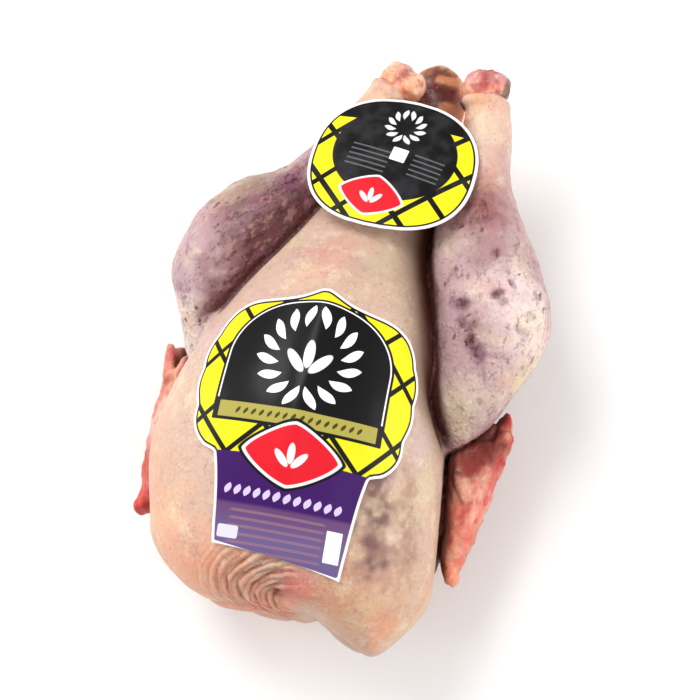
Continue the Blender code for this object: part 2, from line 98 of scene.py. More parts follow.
thighRows = [(0.0, 0.034, 0.034, 0.038), (0.35, 0.038, 0.037, 0.04),
             (0.7, 0.033, 0.034, 0.038), (1.0, 0.025, 0.024, 0.028)]
legs = {
    "right": {
        "hip": (0.046, 0.058, 0.048), "thighEnd": (0.069, -0.0505, 0.07),
        "knee": (0.0695, -0.044, 0.076), "hock": (0.0465, 0.169, 0.088),
        "shin": [
            (0.00, 0.019, 0.017, 0.018, -0.002), (0.1, 0.0272, 0.023, 0.025, 0.0038),
            (0.2, 0.0338, 0.028, 0.03, 0.0102), (0.34, 0.0398, 0.033, 0.034, 0.0134),
            (0.48, 0.0372, 0.032, 0.032, 0.0078), (0.6, 0.028, 0.025, 0.026, 0.0045),
            (0.72, 0.018, 0.018, 0.019, 0.004), (0.86, 0.0135, 0.0135, 0.0135, 0.0045),
            (1.00, 0.0125, 0.0125, 0.0125, 0.0000),
        ],
    },
    "left": {
        "hip": (-0.046, 0.062, 0.048), "thighEnd": (-0.085, -0.032, 0.068),
        "knee": (-0.096, -0.005, 0.074), "hock": (-0.0015, 0.161, 0.088),
        "shin": [
            (0.00, 0.02, 0.02, 0.021, 0.0000), (0.14, 0.033, 0.03, 0.031, -0.001),
            (0.28, 0.0365, 0.033, 0.034, -0.0035), (0.42, 0.0325, 0.029, 0.03, -0.002),
            (0.54, 0.0215, 0.021, 0.022, 0.001), (0.66, 0.0165, 0.016, 0.017, 0.001),
            (0.84, 0.0135, 0.0135, 0.0135, 0.0000), (1.00, 0.0125, 0.0125, 0.0125, 0.0000),
        ],
    },
}
ankleCut = 0.945        # where the skin of the drumstick ends, as a share of its line
wings = {
    "right": {"shoulder": (0.05, -0.128, 0.046), "elbow": (0.074, -0.034, 0.038),
              "fold": (0.085, -0.034, 0.058), "wrist": (0.086, -0.117, 0.05),
              "tip": (0.0995, -0.0165, 0.053)},
    "left": {"shoulder": (-0.058, -0.128, 0.042), "elbow": (-0.08, -0.034, 0.034),
             "fold": (-0.09, -0.034, 0.05), "wrist": (-0.1015, -0.118, 0.044),
             "tip": (-0.104, -0.016, 0.046)},
}
wingExtras = {       # small forms of each wing: start, end, half thickness at each
    "right": [((0.0835, -0.118, 0.05), (0.0905, -0.1145, 0.052), 0.0062, 0.0066),     # wrist knob
              ((0.102, -0.03, 0.062), (0.0855, -0.074, 0.069), 0.004, 0.0022),       # skin over the elbow
              ((0.08, -0.052, 0.066), (0.0835, -0.108, 0.055), 0.005, 0.0036),      # inner bone
              ((0.078, -0.06, 0.0705), (0.088, -0.0735, 0.07), 0.0024, 0.002)],     # fold across the web
    "left": [((-0.0975, -0.119, 0.048), (-0.1035, -0.111, 0.046), 0.0085, 0.0075),
             ((-0.104, -0.04, 0.052), (-0.11, -0.0165, 0.052), 0.0052, 0.0018),
             ((-0.099, -0.038, 0.056), (-0.0925, -0.0195, 0.062), 0.0052, 0.0018)],
}
wingRows = {
    "upper": [(0.0, 0.024, 0.022, 0.022), (0.45, 0.022, 0.02, 0.02),
              (0.8, 0.017, 0.016, 0.016), (1.0, 0.015, 0.015, 0.015)],
    "fore": [(0.0, 0.015, 0.015, 0.016), (0.35, 0.015, 0.015, 0.017),
             (0.7, 0.0092, 0.011, 0.014), (1.0, 0.007, 0.008, 0.011)],
    "tip": [(0.0, 0.0055, 0.007, 0.011), (0.25, 0.0058, 0.009, 0.014),
            (0.65, 0.007, 0.01, 0.015), (1.0, 0.005, 0.007, 0.01)],
}
webShape = {"near": 0.16, "far": 1.02, "rows": [(0, 0.006, 0.0045, 0.0045), (1, 0.015, 0.0045, 0.0045)]}


def unit(v):
    # directions of length one
    return v / np.linalg.norm(v, axis=-1, keepdims=True).clip(1e-9)


def lengthOf(v):
    # the root of the sum of squares
    return np.linalg.norm(v, axis=-1)


def ramp(low, high, x):
    # 0 before low, 1 past high, and a smooth step between; it falls where low is the higher
    t = ((x - low) / (high - low)).clip(0, 1)
    return t * t * (3 - 2 * t)


def smoothRows(rows, count=257):
    # a smooth curve through each column, by Hermite's formula with slopes from the two neighbours
    rows = np.array(rows, float)
    slope = np.empty_like(rows)
    for k in range(len(rows)):
        low, high = max(k - 1, 0), min(k + 1, len(rows) - 1)
        slope[k] = (rows[high] - rows[low]) / (rows[high, 0] - rows[low, 0])
    places = np.linspace(0, 1, count)
    i = np.clip(np.searchsorted(rows[:, 0], places, side="right") - 1, 0, len(rows) - 2)
    span = (rows[i + 1, 0] - rows[i, 0])[:, None]
    t = (places[:, None] - rows[i, :1]) / span
    return places, (rows[i] * (2 * t**3 - 3 * t**2 + 1) + slope[i] * span * (t**3 - 2 * t**2 + t)
                    + rows[i + 1] * (3 * t**2 - 2 * t**3) + slope[i + 1] * span * (t**3 - t**2))


def readyForm(form):
    # the form's own directions, and its rows as tables
    start, end = (np.array(form[key], float) for key in ("start", "end"))
    along, across = unit(end - start), unit(np.cross(end - start, (0, 0, 1)))
    places, table = smoothRows([(*row, 0, 0)[:6] for row in form["rows"]])
    return {**form, "start": start, "end": end, "length": lengthOf(end - start), "along": along,
            "across": across, "up": np.cross(across, along), "places": places, "table": table}


def limbForm(start, end, rows, caps):
    # a form with elliptic sections
    return readyForm({"start": start, "end": end, "rows": rows, "caps": caps, "power": 2.0})


def distanceTo(form, p):
    # how far points are outside a form: its section's round measure joined with that of its ends,
    # less one, over how fast the measure grows there
    rel = p - form["start"]
    t = rel @ form["along"] / form["length"]
    w, rise, drop, shift, lift = (np.interp(t, form["places"], form["table"][:, c]) for c in range(1, 6))
    x, z = rel @ form["across"] - shift, rel @ form["up"] - lift
    h = np.where(z > 0, rise, drop)
    n = form["power"]
    xs, zs = np.abs(x) / w, np.abs(z) / h
    q = (xs**n + zs**n) ** (1 / n) + 1e-5
    first, last = form["caps"]
    end = np.where(t < 0.5, (first - t) / first, (t - 1 + last) / last).clip(0)
    cap = np.where(t < 0.5, first, last) * form["length"]
    g = np.sqrt(q * q + end * end)
    growth = np.sqrt((q / g) ** 2 * (((xs / q) ** (n - 1) / w) ** 2 + ((zs / q) ** (n - 1) / h) ** 2)
                     + (end / g / cap) ** 2)
    return (g - 1) / growth


def blendMin(a, b, reach):
    # the lower of two distances, rounded where they meet within reach
    h = (reach - np.abs(a - b)).clip(0) / reach
    return np.minimum(a, b) - h * h * reach / 4


def blendMax(a, b, reach):
    # the higher of two distances, rounded the same way
    return -blendMin(-a, -b, reach)


def furrowMin(a, b, reach, furrow):
    # the lower of two distances, with a groove of that width and depth cut along their meeting
    width, depth = furrow
    near = (1 - np.abs(a - b) / width).clip(0)
    return blendMin(a, b, reach) + depth * near * near


forms = {"torso": readyForm(torsoForm), "cavity": readyForm(cavityForm),
         "tail": readyForm(tailForm), "neck": readyForm(neckForm)}
for side, leg in legs.items():
    forms["thigh_" + side] = limbForm(leg["hip"], leg["thighEnd"], thighRows, (0.45, 0.4))
    forms["drum_" + side] = limbForm(leg["knee"], leg["hock"], leg["shin"], (0.12, 0.02))
for side, wing in wings.items():
    wrist = np.array(wing["wrist"])
    between = (np.array(wing["fold"]) + np.array(wing["tip"])) / 2
    near, far = (wrist + (between - wrist) * webShape[k] for k in ("near", "far"))
    for name, start, end, rows, cap in (
            ("upper", wing["shoulder"], wing["elbow"], wingRows["upper"], (0.22, 0.16)),
            ("fore", wing["fold"], wing["wrist"], wingRows["fore"], (0.16, 0.16)),
            ("hand", wing["wrist"], wing["tip"], wingRows["tip"], (0.14, 0.14)),
            ("web", near, far, webShape["rows"], (0.1, 0.1))):
        forms[f"{name}_{side}"] = limbForm(start, end, rows, cap)
    for k, (start, end, first, last) in enumerate(wingExtras[side]):
        size = lengthOf(np.subtract(end, start))
        caps = [min(0.45, thick / size) for thick in (first, last)]
        forms[f"extra_{side}_{k}"] = limbForm(start, end, [(0, *[first] * 3), (1, *[last] * 3)], caps)


def ankleOf(form):
    # the point of a drumstick's line where its skin ends
    return form["start"] + form["along"] * form["length"] * ankleCut


def torsoDistance(p):
    # the torso's form, read where each point lay before the lobes, the narrow back and the keel moved it
    x, y, z = p[..., 0], p[..., 1], p[..., 2]
    front, base = torsoForm["start"][1:]
    y0 = y
    for _ in range(3):
        push = 0
        for centre, width, depth, reach in torsoShape["lobes"]:
            nearFront = (1 - (y0 - front) / reach).clip(0, 1.5) ** 2
            push = push + depth * np.exp(-(((x - centre) / width) ** 2)) * nearFront
        y0 = y - push
    share, high, low = torsoShape["pinch"]
    narrow = 1 - share * ramp(high, low, z)
    keelX, keelWidth, keelHeight, keelFrom, keelTo = torsoShape["keel"]
    ridge = np.exp(-(((x - keelX) / keelWidth) ** 2))
    ridge = ridge * np.sin(math.pi * ((y - keelFrom) / (keelTo - keelFrom)).clip(0, 1))
    z0 = z - keelHeight * ridge * ((z - base) / base).clip(0, 1)
    return distanceTo(forms["torso"], np.stack((x / narrow, y0, z0), -1))


def partDistances(p, reach=0.03):
    # each form's distance, worked out only near the form and far elsewhere
    found = {"torso": torsoDistance(p)}
    for name, form in forms.items():
        if name == "torso":
            continue
        ends = np.stack((form["start"], form["end"]))
        size = reach + sum(np.abs(form["table"][:, a:b]).max() for a, b in ((1, 4), (4, 6)))
        close = ((p > ends.min(0) - size) & (p < ends.max(0) + size)).all(-1)
        found[name] = np.full(p.shape[:-1], size)
        found[name][close] = distanceTo(form, p[close])
    return found


skinShape = {
    "cell": 0.00176,            # spacing of the grid that the skin is drawn through
    "margin": 0.01, "below": -0.004,       # how far that grid reaches past the solids, and below the floor
    "thighReach": (0.022, 0.004),   # how widely thigh and torso melt together, at the hip and at the knee
    "thighKnee": (0.45, 0.95),      # where along the thigh that changes
    "ankleRoll": (0.0118, 0.0026, 0.0012),      # radius, half thickness and place of the ankle's rolled skin
    "ankleReach": (0.003, 0.004),
    "legReach": 0.012,          # drumstick into thigh
    "creaseReach": 0.003,       # drumstick against breast
    "onThigh": (-0.002, 0.012),     # how far outside the torso the one passes into the other
    "legFurrow": {"right": (0.012, 0.0075), "left": (0.008, 0.0026)},   # width and depth of the fold there
    "wingReach": 0.007,
    "foldReach": 0.002,         # wing segments against each other
    "extraReach": 0.004,        # knobs and ridges into the wing
    "shoulderFurrow": (0.004, 0.001), "wingFurrow": (0.005, 0.0022), "handFurrow": (0.0045, 0.0018),
    "tailReach": 0.012, "neckReach": 0.006, "mouthReach": 0.004, "floorReach": 0.006,
}


def birdDistance(p):
    # the whole carcass: forms melted together with the reach that each meeting has
    d = partDistances(p)
    s = skinShape
    body = blendMin(d["torso"], d["neck"], s["neckReach"])
    body = blendMax(body, -d["cavity"], s["mouthReach"])
    body = blendMin(body, d["tail"], s["tailReach"])
    for side in legs:
        thigh, drum = d["thigh_" + side], d["drum_" + side]
        hip, knee = forms["thigh_" + side], forms["drum_" + side]
        share = ramp(*s["thighKnee"], (p - hip["start"]) @ hip["along"] / hip["length"])
        atHip, atKnee = s["thighReach"]
        body = blendMin(body, blendMax(thigh, -d["cavity"], s["mouthReach"]), atHip + (atKnee - atHip) * share)
        past = p - ankleOf(knee)
        out, aside = past @ knee["along"], lengthOf(np.cross(past, knee["along"]))
        radius, thick, place = s["ankleRoll"]
        roll = np.hypot(aside - radius, out + place) - thick
        cutReach, rollReach = s["ankleReach"]
        drum = blendMin(blendMax(drum, out, cutReach), roll, rollReach)
        onThigh = ramp(*s["onThigh"], d["torso"] - thigh)
        width, depth = s["legFurrow"][side]
        reach = s["creaseReach"] + (s["legReach"] - s["creaseReach"]) * onThigh
        body = furrowMin(body, drum, reach, (width, depth * (1 - onThigh)))
    for side in wings:
        body = furrowMin(body, d["upper_" + side], s["wingReach"], s["shoulderFurrow"])
        outer = blendMin(d["fore_" + side], d["web_" + side], s["wingReach"])
        outer = furrowMin(outer, d["hand_" + side], s["foldReach"], s["handFurrow"])
        for k in range(len(wingExtras[side])):
            outer = blendMin(outer, d[f"extra_{side}_{k}"], s["extraReach"])
        body = furrowMin(body, outer, s["foldReach"], s["wingFurrow"])
    return blendMax(body, -p[..., 2], s["floorReach"])


cubeCorners = np.argwhere(np.ones((2, 2, 2)))


def netOver(field, cell, corner):
    # one point in each grid cell that the surface crosses, at the mean of its edges' crossings,
    # and a quad round each grid edge that the surface cuts
    inside = field < 0
    size = np.array(field.shape)
    windows = [tuple(slice(a, n - 1 + a) for a, n in zip(c, size)) for c in cubeCorners]
    count = sum(inside[window].astype(np.int8) for window in windows)
    cells = np.argwhere((count > 0) & (count < 8))
    number = np.full(size - 1, -1, np.int64)
    number[tuple(cells.T)] = np.arange(len(cells))
    total, hits = np.zeros((len(cells), 3)), np.zeros(len(cells))
    for a in cubeCorners:
        for step in np.eye(3, dtype=int)[a == 0]:
            fa, fb = field[tuple((cells + a).T)], field[tuple((cells + a + step).T)]
            cut = (fa < 0) != (fb < 0)
            t = np.where(cut, fa / np.where(cut, fa - fb, 1), 0)
            total += np.where(cut[:, None], a + t[:, None] * step, 0)
            hits += cut
    points = corner + (cells + total / hits[:, None]) * cell
    quads = []
    for axis in range(3):
        low = [slice(1, n - 1) for n in size]
        low[axis] = slice(0, size[axis] - 1)
        high = list(low)
        high[axis] = slice(1, size[axis])
        here, there = inside[tuple(low)], inside[tuple(high)]
        du, dv = (np.eye(3, dtype=int)[(axis + k) % 3] for k in (1, 2))
        for sign in (1, -1):
            edge = np.argwhere(here & ~there if sign > 0 else ~here & there) + du + dv
            ring = [edge - du - dv, edge - dv, edge, edge - du][::sign]
            quads.append(np.stack([number[tuple(r.T)] for r in ring], 1))
    return points, np.concatenate(quads)


def slopeOf(field, p, step=0.0006):
    # the direction in which a distance grows, from its difference over a small step each way
    return np.stack([field(p + d) - field(p - d) for d in np.eye(3) * step], -1) / (2 * step)


def settleOn(field, p, level=0.0, rounds=2):
    # points moved along a distance's slope until it has that level
    for _ in range(rounds):
        slope = slopeOf(field, p)
        p = p - slope * ((field(p) - level) / (slope**2).sum(1).clip(0.3))[:, None]
    return p


def surfaceOf(field, low, high, cell, block=4):
    # a field's grid, worked out finely only in the blocks that a coarse grid finds near the surface,
    # then the net over it, and each point moved onto the true surface
    counts = [int((b - a) / (cell * block)) + 1 for a, b in zip(low, high)]
    low = np.array(low)
    middles = np.stack(np.meshgrid(*[np.arange(n) + 0.5 for n in counts], indexing="ij"), -1)
    coarse = field(middles * cell * block + low)
    for axis in range(3):
        coarse = np.repeat(coarse, block, axis)
    near = np.abs(coarse) < cell * block * 1.5 + 0.004
    values = np.where(coarse < 0, -1.0, 1.0)
    values[near] = field(low + np.argwhere(near) * cell)
    p, faces = netOver(values, cell, low)
    return settleOn(field, p), faces


def meshPiece(name, points, faces, smooth=True):
    # points and faces as arrays, put into a mesh in one go
    mesh = bpy.data.meshes.new(name)
    sides = faces.shape[1]
    mesh.vertices.add(len(points))
    mesh.vertices.foreach_set("co", np.asarray(points, np.float32).ravel())
    mesh.loops.add(faces.size)
    mesh.loops.foreach_set("vertex_index", faces.astype(np.int32).ravel())
    mesh.polygons.add(len(faces))
    mesh.polygons.foreach_set("loop_start", np.arange(0, faces.size, sides, dtype=np.int32))
    mesh.polygons.foreach_set("loop_total", np.full(len(faces), sides, np.int32))
    mesh.update(calc_edges=True)
    mesh.validate()
    if smooth:
        mesh.shade_smooth()
    piece = bpy.data.objects.new(name, mesh)
    bpy.context.scene.collection.objects.link(piece)
    return piece


def setLayer(piece, name, values, kind="FLOAT", field="value"):
    # a value for each point, kept in the mesh for the shader
    layer = piece.data.attributes.new(name, kind, "POINT")
    layer.data.foreach_set(field, np.asarray(values, np.float32).ravel())


def setTint(piece, colours):
    # each point's colour, with nothing see-through
    setLayer(piece, "skinTint", np.insert(colours, 3, 1, 1), "FLOAT_COLOR", "color")


def paint(red, green, blue):
    # a screen colour, 0 to 255, as the linear light that shaders take
    c = np.array((red, green, blue)) / 255
    return np.where(c < 0.04045, c / 12.92, ((c + 0.055) / 1.055) ** 2.4)


def toward(colours, shade, share):
    # each point's colour moved towards a screen colour by its share
    return colours + (paint(*shade) - colours) * share[:, None]


# Noise in whole arrays.
latticeSize = 32
lattice = np.random.default_rng(7).random((latticeSize,) * 3)


def softNoise(p, size, seed=0):
    # random values on a cubic lattice of that size, joined by smooth curves, from 0 to 1
    q = p / size + np.array((3.7, 9.1, 5.3)) * (seed + 1)
    base = np.floor(q).astype(int)
    t = ramp(0, 1, q - base)
    total = 0
    for corner in cubeCorners:
        total = total + np.where(corner, t, 1 - t).prod(1) * lattice[tuple(((base + corner) % latticeSize).T)]
    return total


def swing(p, size, seed):
    # the same noise round 0
    return softNoise(p, size, seed) - 0.5


# Shader arithmetic.
class Paint:
    # a socket of a material's nodes: an operator on it adds the Math node that it stands for
    def __init__(self, tree, socket=None):
        # the material's nodes and the socket that it stands for
        self.tree, self.socket = tree, socket

    def node(self, kind, settings=None, values=None, out=0):
        # any node: its settings first, then the values or links of its sockets
        made = self.tree.nodes.new(kind)
        for name, value in (settings or {}).items():
            setattr(made, name, value)
        fill(made.inputs, values or {})
        return Paint(self.tree, made.outputs[out])

    def maths(self, operation, *others):
        # the operation on this socket and on the others, in their order
        return self.node("ShaderNodeMath", {"operation": operation}, dict(enumerate((self, *others))))

    __add__ = __radd__ = partialmethod(maths, "ADD")
    __mul__ = __rmul__ = partialmethod(maths, "MULTIPLY")
    __sub__ = partialmethod(maths, "SUBTRACT")
    __truediv__ = partialmethod(maths, "DIVIDE")
    __mod__ = partialmethod(maths, "FLOORED_MODULO")
    __pow__ = partialmethod(maths, "POWER")
    __abs__ = partialmethod(maths, "ABSOLUTE")
    most = partialmethod(maths, "MAXIMUM")
    least = partialmethod(maths, "MINIMUM")

    def __rsub__(self, other):
        # the other less this
        return self * -1.0 + other

    def rising(self, low, high, start=0.0, end=1.0):
        # start below low, end above high, and a smooth step between
        return self.node("ShaderNodeMapRange", {"interpolation_type": "SMOOTHSTEP"},
                         {0: self, 1: low, 2: high, 3: start, 4: end})

    def inside(self, soft=0.2):
        # 1 where a distance is below nothing, 0 outside
        return self.rising(-soft, soft, 1.0, 0.0)

    def attribute(self, name, out="Fac"):
        # what each point of the piece holds under that name
        return self.node("ShaderNodeAttribute", {"attribute_name": name}, {}, out)

    def noise(self, place, scale, detail=2.0, rough=0.5, out=0):
        # a soft random value about one half; each further octave has the share rough of the one before
        values = {"Vector": place, "Scale": scale, "Detail": detail, "Roughness": rough}
        return self.node("ShaderNodeTexNoise", {}, values, out)

    def cells(self, place, scale, channel):
        # how far the nearest cell's middle is, and a random number of that cell
        far, tone = (self.node("ShaderNodeTexVoronoi", {}, {"Vector": place, "Scale": scale}, out)
                     for out in ("Distance", "Color"))
        return far, self.split("ShaderNodeSeparateColor", tone)[channel]

    def bump(self, height, strength=1.0):
        # normals tilted as if height, in mm, stood on the surface
        return self.node("ShaderNodeBump", {}, {"Strength": strength, "Distance": 0.001, "Height": height})

    def split(self, kind, place):
        # each part of a place or a colour, as a list
        made = self.node(kind, {}, {0: place})
        return [Paint(self.tree, o) for o in made.socket.node.outputs]


def fill(sockets, values):
    # a value or a link for each socket that is named
    for key, value in values.items():
        if isinstance(value, Paint):
            value.tree.links.new(value.socket, sockets[key])
        else:
            sockets[key].default_value = value


def startPaint(name):
    # a new material, its shader's sockets, an empty Paint, and the place on the piece
    material = bpy.data.materials.new(name)
    material.use_nodes = True
    s = Paint(material.node_tree)
    sockets = material.node_tree.nodes["Principled BSDF"].inputs
    return material, sockets, s, s.node("ShaderNodeTexCoord", {}, {}, "Object")


def layered(tint, *layers):
    # colours laid over the first one, each by its share
    for layer, share in layers:
        a, b = (c if isinstance(c, Paint) else (*paint(*c), 1.0) for c in (tint, layer))
        tint = share.node("ShaderNodeMix", {"data_type": "RGBA"}, {0: share, 6: a, 7: b}, 2)
    return tint


def blots(s, tint, place, rows, areas):
    # a colour wherever noise is high, in each row's area and with its strength
    for colour, scale, detail, rough, low, high, strength, area in rows:
        share = s.noise(place, scale, detail, rough).rising(low, high) * strength
        tint = layered(tint, (colour, share * areas[area] if area else share))
    return tint


# The skin.
skinLook = {
    "regions": {"breast": (201, 170, 150), "neck": (208, 142, 112), "tail": (200, 120, 80),
                "leg": (182, 150, 150), "wing": (200, 124, 104)},
    "folds": {      # colour and strength laid over folds, creases and hollows, in the order in which they are laid; most of it is painted shade
        # painted shade: the breast's flank towards the right leg, the leg beside folds, the valleys of the
        # neck's gathers, the gap by the right leg and the creases; darker flesh with painted shade: the left
        # leg along the breast, and the cavity's dark red lining; the cavity's fat is its own colour
        "flank": ((84, 62, 46), 1.0), "leftCreaseFleshAndShade": ((98, 48, 50), 1.0), "hollow": ((84, 22, 20), 0.9),
        "fat": ((222, 148, 104), 0.7), "legShade": ((108, 58, 60), 0.75), "valleyShade": ((176, 84, 60), 0.75),
        "gap": ((64, 32, 20), 0.9), "quill": ((112, 52, 44), 0.75), "dark": ((78, 36, 28), 0.8),
    },
    "streaks": [    # from and to in mm, radius, colour, strength, region
        ((43, -74, 130), (50, -124, 120), 15, (104, 64, 64), 0.9, "breast"),     # mottled skin beside the label
        ((60, -72, 114), (66, -126, 104), 10, (150, 112, 96), 0.65, "breast"),
        ((30, 40, 120), (38, -10, 124), 9, (176, 156, 132), 0.5, "breast"),
        ((-14, 46, 122), (-34, 8, 122), 5, (188, 140, 132), 0.5, "breast"),
        ((-24, 44, 117), (-58, -14, 114), 6, (190, 156, 152), 0.6, "breast"),
        ((64, 27, 110), (79, 5, 109), 6.5, (92, 36, 44), 0.95, "leg"),      # the long bruise
        ((79, 5, 109), (86, -8, 105), 5, (112, 60, 88), 0.75, "leg"),
        ((58, 98, 102), (64, 70, 106), 8, (128, 66, 60), 0.7, "leg"),
        ((44, 78, 94), (53, 30, 101), 8, (112, 60, 64), 0.85, "leg"),       # the right leg's inner edge, darker: painted shade
        # the left leg darker along its crease with the breast: darker flesh and painted shade
        ((-40, 76, 102), (-62, 38, 108), 10, (70, 30, 34), 0.7, "leg"),
        ((-92, 60, 98), (-60, 84, 102), 6, (142, 112, 104), 0.6, "leg"),
        ((84, -98, 62), (92, -60, 69), 3.5, (176, 50, 44), 0.75, "wing"),
        ((90, -108, 56), (100, -62, 62), 3.5, (222, 96, 86), 0.7, "wing"),
        ((79, -58, 70), (88, -74, 70), 2.6, (238, 190, 168), 0.85, "wing"),
        ((106, -22, 60), (103, -52, 62), 7, (182, 12, 28), 1.0, "wing"),       # red outer rim
        ((103, -52, 62), (98, -72, 62), 6, (206, 84, 78), 0.85, "wing"),
        ((78, -50, 74), (80, -64, 71), 3, (96, 34, 30), 0.9, "wing"),
        ((-2, 186, 62), (34, 186, 60), 8, (236, 204, 158), 1.0, "tail"),       # pale tip of the tail
        ((2, 176, 66), (32, 176, 62), 6, (214, 136, 92), 0.8, "tail"),
        ((6, 166, 66), (32, 166, 62), 7, (128, 68, 66), 0.9, "tail"),
        ((-108, -22, 54), (-110, -60, 54), 6, (196, 48, 48), 0.8, "wing"),
        ((100, -40, 40), (94, -112, 40), 7, (230, 168, 140), 0.7, "wing"),
    ],
    # patches: x, y, z and radius in mm, colour, strength
    "patches": [
        (-40, -150, 100, 42, 236, 168, 132, 1.0), (-6, -158, 96, 26, 236, 152, 124, 0.9),
        # the small dark patch at the neck's pit is painted shade; the pink mound beside it is its own colour
        (2, -152, 113, 6, 132, 62, 48, 0.85), (16, -149, 120, 16, 206, 112, 100, 0.9),
        (34, -146, 118, 20, 214, 138, 112, 0.7), (46, -142, 104, 36, 206, 160, 128, 0.75),
        (58, -156, 94, 20, 224, 150, 108, 0.65), (78, -132, 70, 34, 204, 158, 128, 0.5),
        (56, -116, 114, 14, 176, 138, 110, 0.6), (60, -92, 112, 18, 202, 174, 138, 0.6),
        (70, -74, 98, 16, 208, 184, 158, 0.6), (60, -54, 110, 16, 202, 176, 168, 0.7),
        (-76, -104, 88, 46, 214, 164, 134, 0.8), (-86, -60, 80, 30, 216, 170, 142, 0.75),
        (-60, -128, 110, 26, 226, 166, 136, 0.7), (-70, -62, 104, 18, 216, 198, 164, 0.6),
        (-12, 36, 127, 16, 206, 150, 136, 0.6), (-20, 22, 128, 12, 214, 176, 152, 0.6),
        (8, 30, 126, 12, 190, 160, 140, 0.6), (22, 40, 123, 20, 190, 168, 144, 0.75),
        (-62, -22, 113, 18, 196, 168, 166, 0.85), (-46, 8, 117, 14, 196, 162, 152, 0.7),
        (-30, 34, 118, 10, 186, 146, 136, 0.7),
    ],
    "legPatches": [
        # the first two patches darken the crotch between the left leg, the breast and the tag: darker flesh and
        # painted shade
        (-58, 42, 108, 26, 80, 36, 38, 0.95), (-44, 60, 103, 24, 74, 32, 30, 0.95),
        (-62, 70, 105, 14, 122, 72, 84, 0.8), (-50, 86, 103, 12, 134, 78, 104, 0.85),
        (-66, 66, 107, 7, 122, 70, 98, 0.8), (-70, 34, 108, 9, 150, 104, 104, 0.7),
        (-74, 50, 109, 20, 122, 82, 86, 0.85), (-74, 78, 99, 18, 150, 122, 104, 0.85),
        (-88, 68, 98, 14, 182, 158, 134, 0.6), (-94, 34, 102, 20, 182, 150, 156, 0.7),
        (-96, 8, 98, 18, 172, 142, 152, 0.7), (-78, 20, 108, 16, 138, 100, 108, 0.7),
        (-92, -14, 88, 26, 226, 206, 196, 0.9), (-76, -8, 103, 10, 206, 178, 134, 0.6),
        (62, 88, 106, 20, 142, 82, 82, 0.8), (72, 64, 110, 16, 158, 118, 116, 0.6),
        (60, 112, 100, 18, 212, 164, 144, 0.7), (80, 38, 113, 18, 214, 180, 178, 0.75),
        (96, 34, 106, 26, 232, 212, 208, 0.85), (106, 18, 92, 24, 232, 214, 200, 0.85),
        (98, 0, 98, 20, 204, 172, 174, 0.7), (83, 37, 113, 4.5, 84, 30, 50, 0.9),
        (77, 60, 110, 3.5, 104, 42, 56, 0.85), (64, 22, 111, 9, 186, 152, 170, 0.5),
        (107, 2, 84, 18, 214, 198, 152, 0.6), (80, -24, 100, 22, 200, 180, 162, 0.85),
        (68, -38, 96, 18, 196, 176, 152, 0.85), (72, -46, 90, 8, 226, 142, 100, 0.9),
        (48, 140, 98, 30, 222, 190, 168, 0.9), (46, 160, 96, 14, 230, 172, 132, 0.9),
        (-16, 140, 98, 26, 222, 170, 142, 0.8),
    ],
    "wingPatches": [
        (86, -48, 72, 19, 132, 44, 36, 1.0), (93, -40, 74, 12, 96, 30, 24, 0.95),
        (84, -67, 70, 6, 214, 150, 128, 0.75), (97, -56, 69, 6, 222, 146, 128, 0.7),
        (99, -20, 62, 9, 160, 26, 30, 0.95), (96, -74, 64, 14, 238, 172, 150, 0.85),
        (84, -82, 67, 8, 206, 92, 78, 0.8), (90, -92, 61, 8, 214, 104, 88, 0.75),
        (83, -100, 62, 8, 222, 150, 108, 0.8), (87, -116, 56, 10, 236, 132, 100, 0.9),
        (-102, -112, 52, 14, 204, 62, 58, 0.95), (-104, -88, 56, 18, 186, 66, 56, 0.9),
        (-104, -24, 54, 16, 246, 164, 146, 0.9), (-106, -66, 58, 18, 236, 196, 180, 0.7),
    ],
}
# where each mask is nothing and where it is full, in metres; the shank's as a share of the leg
maskShape = {
    "meeting": (0.028, 0.01), "leftCreaseFleshAndShade": (0.03, 0.003), "flank": (0.027, 0.004), "hollow": (0.005, 0.0004),
    "gap": (0.0085, 0.002), "litEdge": (0.0, 0.004), "shank": (0.58, 0.74),
    "region": 0.0022, "fold": 0.006, "shade": 0.02,        # how softly regions part, how far a probe reaches
}


def skinMasks(p, normals, parts):
    # how much each point belongs to leg, wing, tail, neck and torso, and how deep in a fold it lies
    m = maskShape
    groups = {"breast": ["torso"], "neck": ["neck"], "tail": ["tail"],
              "leg": [n for n in parts if n.startswith(("thigh", "drum"))],
              "wing": [n for n in parts if n.startswith(("upper", "fore", "hand", "web", "extra"))]}
    far = np.stack([np.min([parts[n] for n in names], axis=0) for names in groups.values()])
    weight = np.exp(-(far - far.min(0)) / m["region"])
    masks = dict(zip(groups, weight / weight.sum(0)))
    x, y, torso = p[:, 0], p[:, 1], parts["torso"]
    # only where two regions come near each other, or on a wing, is a hollow a fold
    meeting = np.maximum(ramp(*m["meeting"], np.sort(far, axis=0)[1]), masks["wing"])
    # a wide strip of the left leg along the breast, for darker flesh and painted shade, and the breast's flank
    # towards the right leg, for painted shade
    masks["leftCreaseFleshAndShade"] = ramp(*m["leftCreaseFleshAndShade"], torso) * masks["leg"] * ramp(-0.03, 0.015, y) * (x < 0)
    masks["flank"] = ramp(*m["flank"], parts["drum_right"]) * masks["breast"] * ramp(-0.07, -0.03, y)
    masks["hollow"] = ramp(*m["hollow"], parts["cavity"])
    # the dark gap between the breast and the right leg, for painted shade
    masks["gap"] = ramp(*m["gap"], np.maximum(np.abs(torso + 0.001), np.abs(parts["drum_right"] + 0.001)))
    # the right leg's edge catches the light
    litEdge = 1 - 0.75 * masks["leg"] * (x > 0) * ramp(*m["litEdge"], torso)
    masks["shank"] = 0
    for name in ("drum_left", "drum_right"):
        share = (p - forms[name]["start"]) @ forms[name]["along"] / forms[name]["length"]
        masks["shank"] = np.maximum(masks["shank"], ramp(*m["shank"], share) * (np.abs(parts[name]) < 0.004))
    for name in ("fold", "shade"):
        masks[name] = (1 - birdDistance(p + normals * m[name]) / m[name]).clip(0, 1) * meeting * litEdge
    return masks


